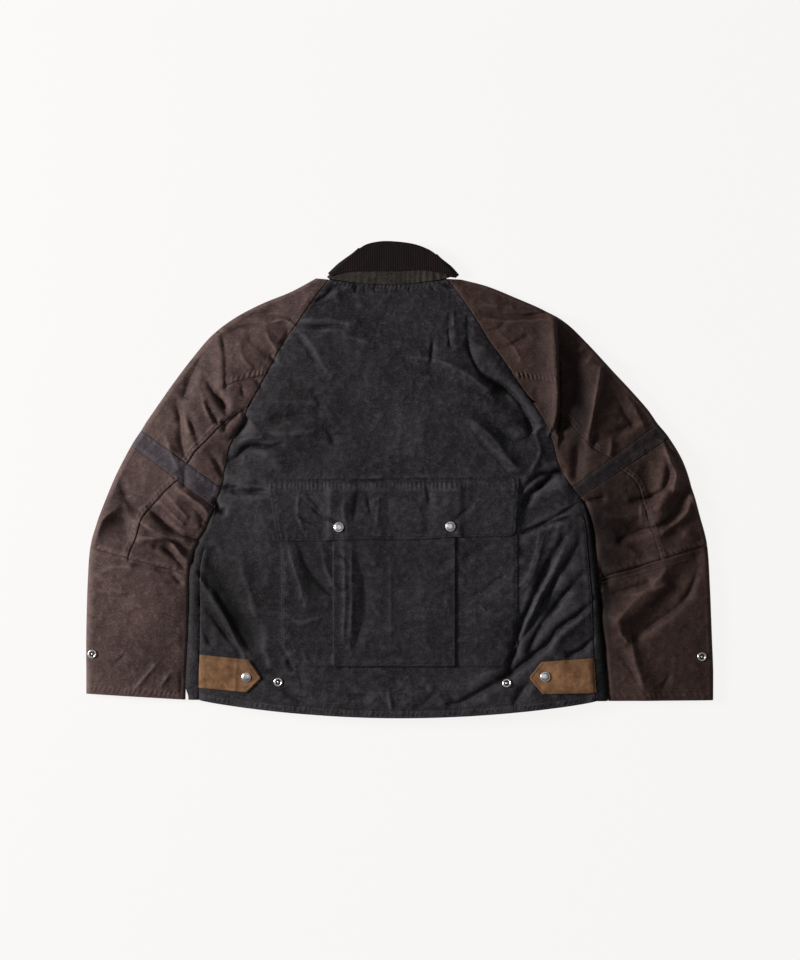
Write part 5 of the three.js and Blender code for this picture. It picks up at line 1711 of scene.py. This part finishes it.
SNAP = [
    (0, 0), (6.6, 0), (7.3, 0.4), (7.5, 0.9), (7.4, 1.4), (6.9, 1.75), (6.4, 1.6), (6.0, 1.7),
    (5.4, 2.15), (4.4, 2.5), (3.0, 2.78), (1.5, 2.88), (0, 2.9),
]
RING = [
    (3.0, 0.2), (6.4, 0), (6.9, 0.4), (7.0, 0.9), (6.6, 1.6), (6.0, 2.05), (5.3, 2.2),
    (4.6, 2.05), (4.0, 1.6), (3.6, 1.0), (3.4, 0.4), (3.0, 0.2),
]
STUD_FLOOR = [(0, 0.3), (3.6, 0.3), (3.6, 0.55), (0, 0.55)]
STUD_POST = [(0, 0.5), (1.7, 0.5), (1.75, 1.2), (1.5, 1.75), (0.9, 2.0), (0, 2.05)]


def turned(profile, place, axis, sides=48):
    """A profile of radius and height turned round an axis: its points and faces."""
    axis = Vector(axis).normalized()
    first = axis.orthogonal().normalized()
    second = axis.cross(first)
    vertices, faces = [], []
    for radius, height in profile:
        for k in range(sides):
            angle = 2 * math.pi * k / sides
            out = first * (radius * math.cos(angle)) + second * (radius * math.sin(angle))
            vertices.append(np.array(place) + np.array(out + axis * height))
    for row in range(len(profile) - 1):
        for k in range(sides):
            a, b = row * sides + k, row * sides + (k + 1) % sides
            faces.append((a, b, b + sides, a + sides))
    return vertices, faces


def joined(parts):
    vertices, faces = [], []
    for part_vertices, part_faces in parts:
        start = len(vertices)
        vertices += part_vertices
        faces += [tuple(v + start for v in face) for face in part_faces]
    return np.array(vertices), faces


def fastener(name, kind, place, axis):
    if kind == "snap":
        parts = [("", [turned(SNAP, place, axis)], BRIGHT_METAL)]
    else:
        parts = [
            ("", [turned(RING, place, axis)], BRIGHT_METAL),
            ("_centre", [turned(STUD_FLOOR, place, axis)], DARK_METAL),
            ("_post", [turned(STUD_POST, place, axis, 24)], BRIGHT_METAL),
        ]
    for suffix, solids, material in parts:
        made = make_mesh(f"metal_{name}{suffix}", *joined(solids), material)
        merge(made)
        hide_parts(name)


def merge(made):
    """Joins the points that a profile puts on its own axis or at its closed end."""
    mesh = bmesh.new()
    mesh.from_mesh(made.data)
    bmesh.ops.remove_doubles(mesh, verts=mesh.verts, dist=1e-6)
    bmesh.ops.recalc_face_normals(mesh, faces=mesh.faces)
    mesh.to_mesh(made.data)
    mesh.free()


def seat(carrier, x, y, sink=0.25):
    """Where a fastener stands on a piece's cloth, its base a little in the cloth, and the way it faces."""
    mesh = PIECES[carrier].data
    places = np.empty(len(mesh.vertices) * 3)
    mesh.vertices.foreach_get("co", places)
    places = places.reshape(-1, 3) * 1000
    close = places[np.hypot(places[:, 0] - x, places[:, 1] - y) < 7.5]
    close = close[close[:, 2] > close[:, 2].max() - 4]
    matrix = np.column_stack([close[:, 0] - x, close[:, 1] - y, np.ones(len(close))])
    slope_x, slope_y, height = np.linalg.lstsq(matrix, close[:, 2], rcond=None)[0]
    axis = np.array([-slope_x, -slope_y, 1.0])
    axis /= np.linalg.norm(axis)
    base = np.array([x, y, height])
    return base + axis * (((close - base) @ axis).max() - sink), axis


FASTENERS = [
    ("snap_flap_left", "snap", "cloth_pocket_flap", -91, -71.5),
    ("snap_flap_right", "snap", "cloth_pocket_flap", 75.5, -70.5),
    ("snap_tab_left", "snap", "cloth_tab_left", -229.5, -296),
    ("snap_tab_right", "snap", "cloth_tab_right", 217, -295),
    ("ring_stud_hem_left", "ring", "cloth_back_panel", -181.5, -303),
    ("ring_stud_hem_right", "ring", "cloth_back_panel", 160, -304.5),
    ("ring_stud_cuff_left", "ring", "cloth_sleeve_forearm_left", -460, -261.5),
    ("ring_stud_cuff_right", "ring", "cloth_sleeve_forearm_right", 452, -265.5),
]


# Stitches are short spindles of thread, half sunk in the cloth.

STITCH, GAP, THREAD = 2.9, 1.1, 0.42
THREAD_LIFT = PANEL / 2 + 0.1  # from a cloth's middle surface to the middle of a stitch
TWIN_ROWS = (2.0, 7.5)  # how far from a seam the two rows beside it are


def stitches(name, lines, material):
    vertices, faces = [], []
    for line in lines:
        line = resample(line, (STITCH + GAP) / 2)
        for k in range(0, len(line) - 1, 2):
            start, stop = line[k], line[min(k + 1, len(line) - 1)]
            way = stop - start
            size = np.linalg.norm(way)
            if size < 0.2 or size > 2 * STITCH:
                continue
            way = way / size
            middle = (start + stop) / 2
            side = np.array([-way[1], way[0], 0]) / max(np.hypot(way[0], way[1]), 1e-6)
            up = np.cross(way, side)
            first = len(vertices)
            vertices.append(middle - way * STITCH / 2)
            for part in (-0.25, 0.25):
                for angle in range(0, 360, 72):
                    turn = math.radians(angle)
                    ring = side * math.cos(turn) + up * math.sin(turn)
                    vertices.append(middle + way * STITCH * part + ring * THREAD)
            vertices.append(middle + way * STITCH / 2)
            for j in range(5):
                a, b = first + 1 + j, first + 1 + (j + 1) % 5
                faces += [(first, b, a), (a, b, b + 5, a + 5), (first + 11, a + 5, b + 5)]
    make_mesh(name, np.array(vertices), faces, material)


def thread_on_sleeve(side, t, s):
    top = sleeve_top(side, np.asarray(t, float), s)
    lay_relief(top)
    top[..., 2] += THREAD_LIFT
    return top


def thread_on_back(line):
    line = np.asarray(line, float)
    return on_back(line[:, 0], line[:, 1], THREAD_LIFT)


def offset_line(line, away):
    """A line moved to its left by a distance."""
    way = np.gradient(line, axis=0)
    way /= np.linalg.norm(way, axis=1)[:, None]
    return line + np.stack([-way[:, 1], way[:, 0]], axis=1) * away


ROW_LENGTH = 33  # how much of a sleeve one row of its table takes, about
RAGLAN_SEWN = {"left": BAND_TOP - 0.1, "right": 6}  # the row where the stitches along the raglan seam stop


def sleeve_stitching(side):
    def raglan(t):
        return 0 * t

    def diagonal(t):
        return seam_across(side, t)

    def down(first, last, seam, away):
        t = np.linspace(first, last, 120)
        return thread_on_sleeve(side, t, seam(t) + away / sleeve(side, t)[3])

    def across(row, away, first=0.0):
        row = row + away / ROW_LENGTH
        start, end = across_limits(side, np.array(float(row)))
        s = np.linspace(max(first, start), end, 90)
        return thread_on_sleeve(side, np.full(90, float(row)), s)

    cloth_lines = [down(0.2, RAGLAN_SEWN[side], raglan, 2.2)]
    for first, last in ((WEDGE_START + 0.3, BAND_TOP - 0.05), (UNDERARM + 0.05, FOREARM - 0.05)):
        cloth_lines += [down(first, last, diagonal, away) for away in TWIN_ROWS]
    cloth_lines += [across(FOREARM, away) for away in TWIN_ROWS]
    cloth_lines.append(across(CUFF, -15))
    stitches(f"stitching_sleeve_{side}", cloth_lines, SLEEVE_THREAD)
    band_lines = [across(BAND_TOP, 2.0, 0.02), across(UNDERARM, -2.0, 0.02)]
    stitches(f"stitching_band_{side}", band_lines, BODY_THREAD)


def body_stitching():
    hem = SEAMS["hem"][8:-8]
    lines = [thread_on_back(offset_line(hem, away)) for away in (2.6, 9.6)]
    for side, away in (("left", 2.0), ("right", -2.0)):
        lines.append(thread_on_back(offset_line(SEAMS[f"side_{side}"][2:-2], away)))
    stitches("stitching_body", lines, BODY_THREAD)
    left, right, low = POCKET["left"], POCKET["right"], POCKET["bottom"]
    across, up = POCKET_CORNER
    inset = 3.2
    edge = [
        (left + inset, FLAP["bottom"] - 4), (left + inset, low + up + 1), (left + across + 1.5, low + inset),
        (right - across - 1.5, low + inset), (right - inset, low + up + 1),
        (right - inset, FLAP["bottom"] - 1),
    ]
    edge = resample(edge, 1.5)
    pleat_left, pleat_right = POCKET["pleat"]
    level = 2 * PLEAT_PRESSED * ((edge[:, 0] > pleat_left) & (edge[:, 0] < pleat_right))
    lift = SEWN_LIFT + 0.2 + level * LAYER + PANEL / 2
    pocket_line = on_back(edge[:, 0], edge[:, 1], lift)
    breaks = np.where(np.abs(np.diff(level)) > 0.3)[0] + 1
    pocket_lines = [part for part in np.split(pocket_line, breaks) if len(part) > 3]
    stitches("stitching_pocket", pocket_lines, BODY_THREAD)


# Making every piece.

back_panel()
for side in ("left", "right"):
    front(side)
    sleeve_pieces(side)
pocket()
flap()
collar_stand()
collar_fall()
for side in ("left", "right"):
    tab(side)
for name, kind, carrier, x, y in FASTENERS:
    place, axis = seat(carrier, x, y)
    fastener(name, kind, place, axis)
for side in ("left", "right"):
    sleeve_stitching(side)
body_stitching()


# The floor, the light and the camera.


def floor():
    mesh = bpy.data.meshes.new("floor")
    far = 3.0
    mesh.from_pydata([(-far, -far, 0), (far, -far, 0), (far, far, 0), (-far, far, 0)], [], [(0, 1, 2, 3)])
    made = bpy.data.objects.new("floor", mesh)
    bpy.context.scene.collection.objects.link(made)
    material = bpy.data.materials.new("pale_floor")
    material.use_nodes = True
    shader = material.node_tree.nodes["Principled BSDF"]
    shader.inputs["Base Color"].default_value = tone(60, 60, 60)
    shader.inputs["Specular IOR Level"].default_value = 0.0
    shader.inputs["Roughness"].default_value = 1.0
    shader.inputs["Emission Color"].default_value = tone(246, 244, 243)
    shader.inputs["Emission Strength"].default_value = 0.97
    mesh.materials.append(material)


def area_light(name, place, size, power, colour=(1, 1, 1)):
    light = bpy.data.lights.new(name, "AREA")
    light.shape = "RECTANGLE"
    light.size, light.size_y = size
    light.energy = power
    light.color = colour
    made = bpy.data.objects.new(name, light)
    made.location = place
    made.rotation_euler = (-Vector(place)).to_track_quat("-Z", "Y").to_euler()
    bpy.context.scene.collection.objects.link(made)


floor()
area_light("window_light", (-3.5, 0.6, 1.55), (0.95, 0.95), 330, (1.0, 0.985, 0.975))
area_light("overhead_light", (0.0, 0.5, 4.2), (3.0, 3.0), 26, (0.97, 0.97, 1.0))
scene = bpy.context.scene
world = bpy.data.worlds.new("studio")
world.use_nodes = True
world.node_tree.nodes["Background"].inputs["Color"].default_value = tone(200, 202, 206)
world.node_tree.nodes["Background"].inputs["Strength"].default_value = 0.25
scene.world = world
scene.view_settings.view_transform = "Standard"

camera_data = bpy.data.cameras.new("camera")
camera_data.sensor_fit = "HORIZONTAL"
camera_data.sensor_width = 36
camera_data.lens = 150
camera_data.clip_end = 30
camera = bpy.data.objects.new("camera", camera_data)
camera.location = (0.000375, -0.001125, 5.0)
scene.collection.objects.link(camera)
scene.camera = camera
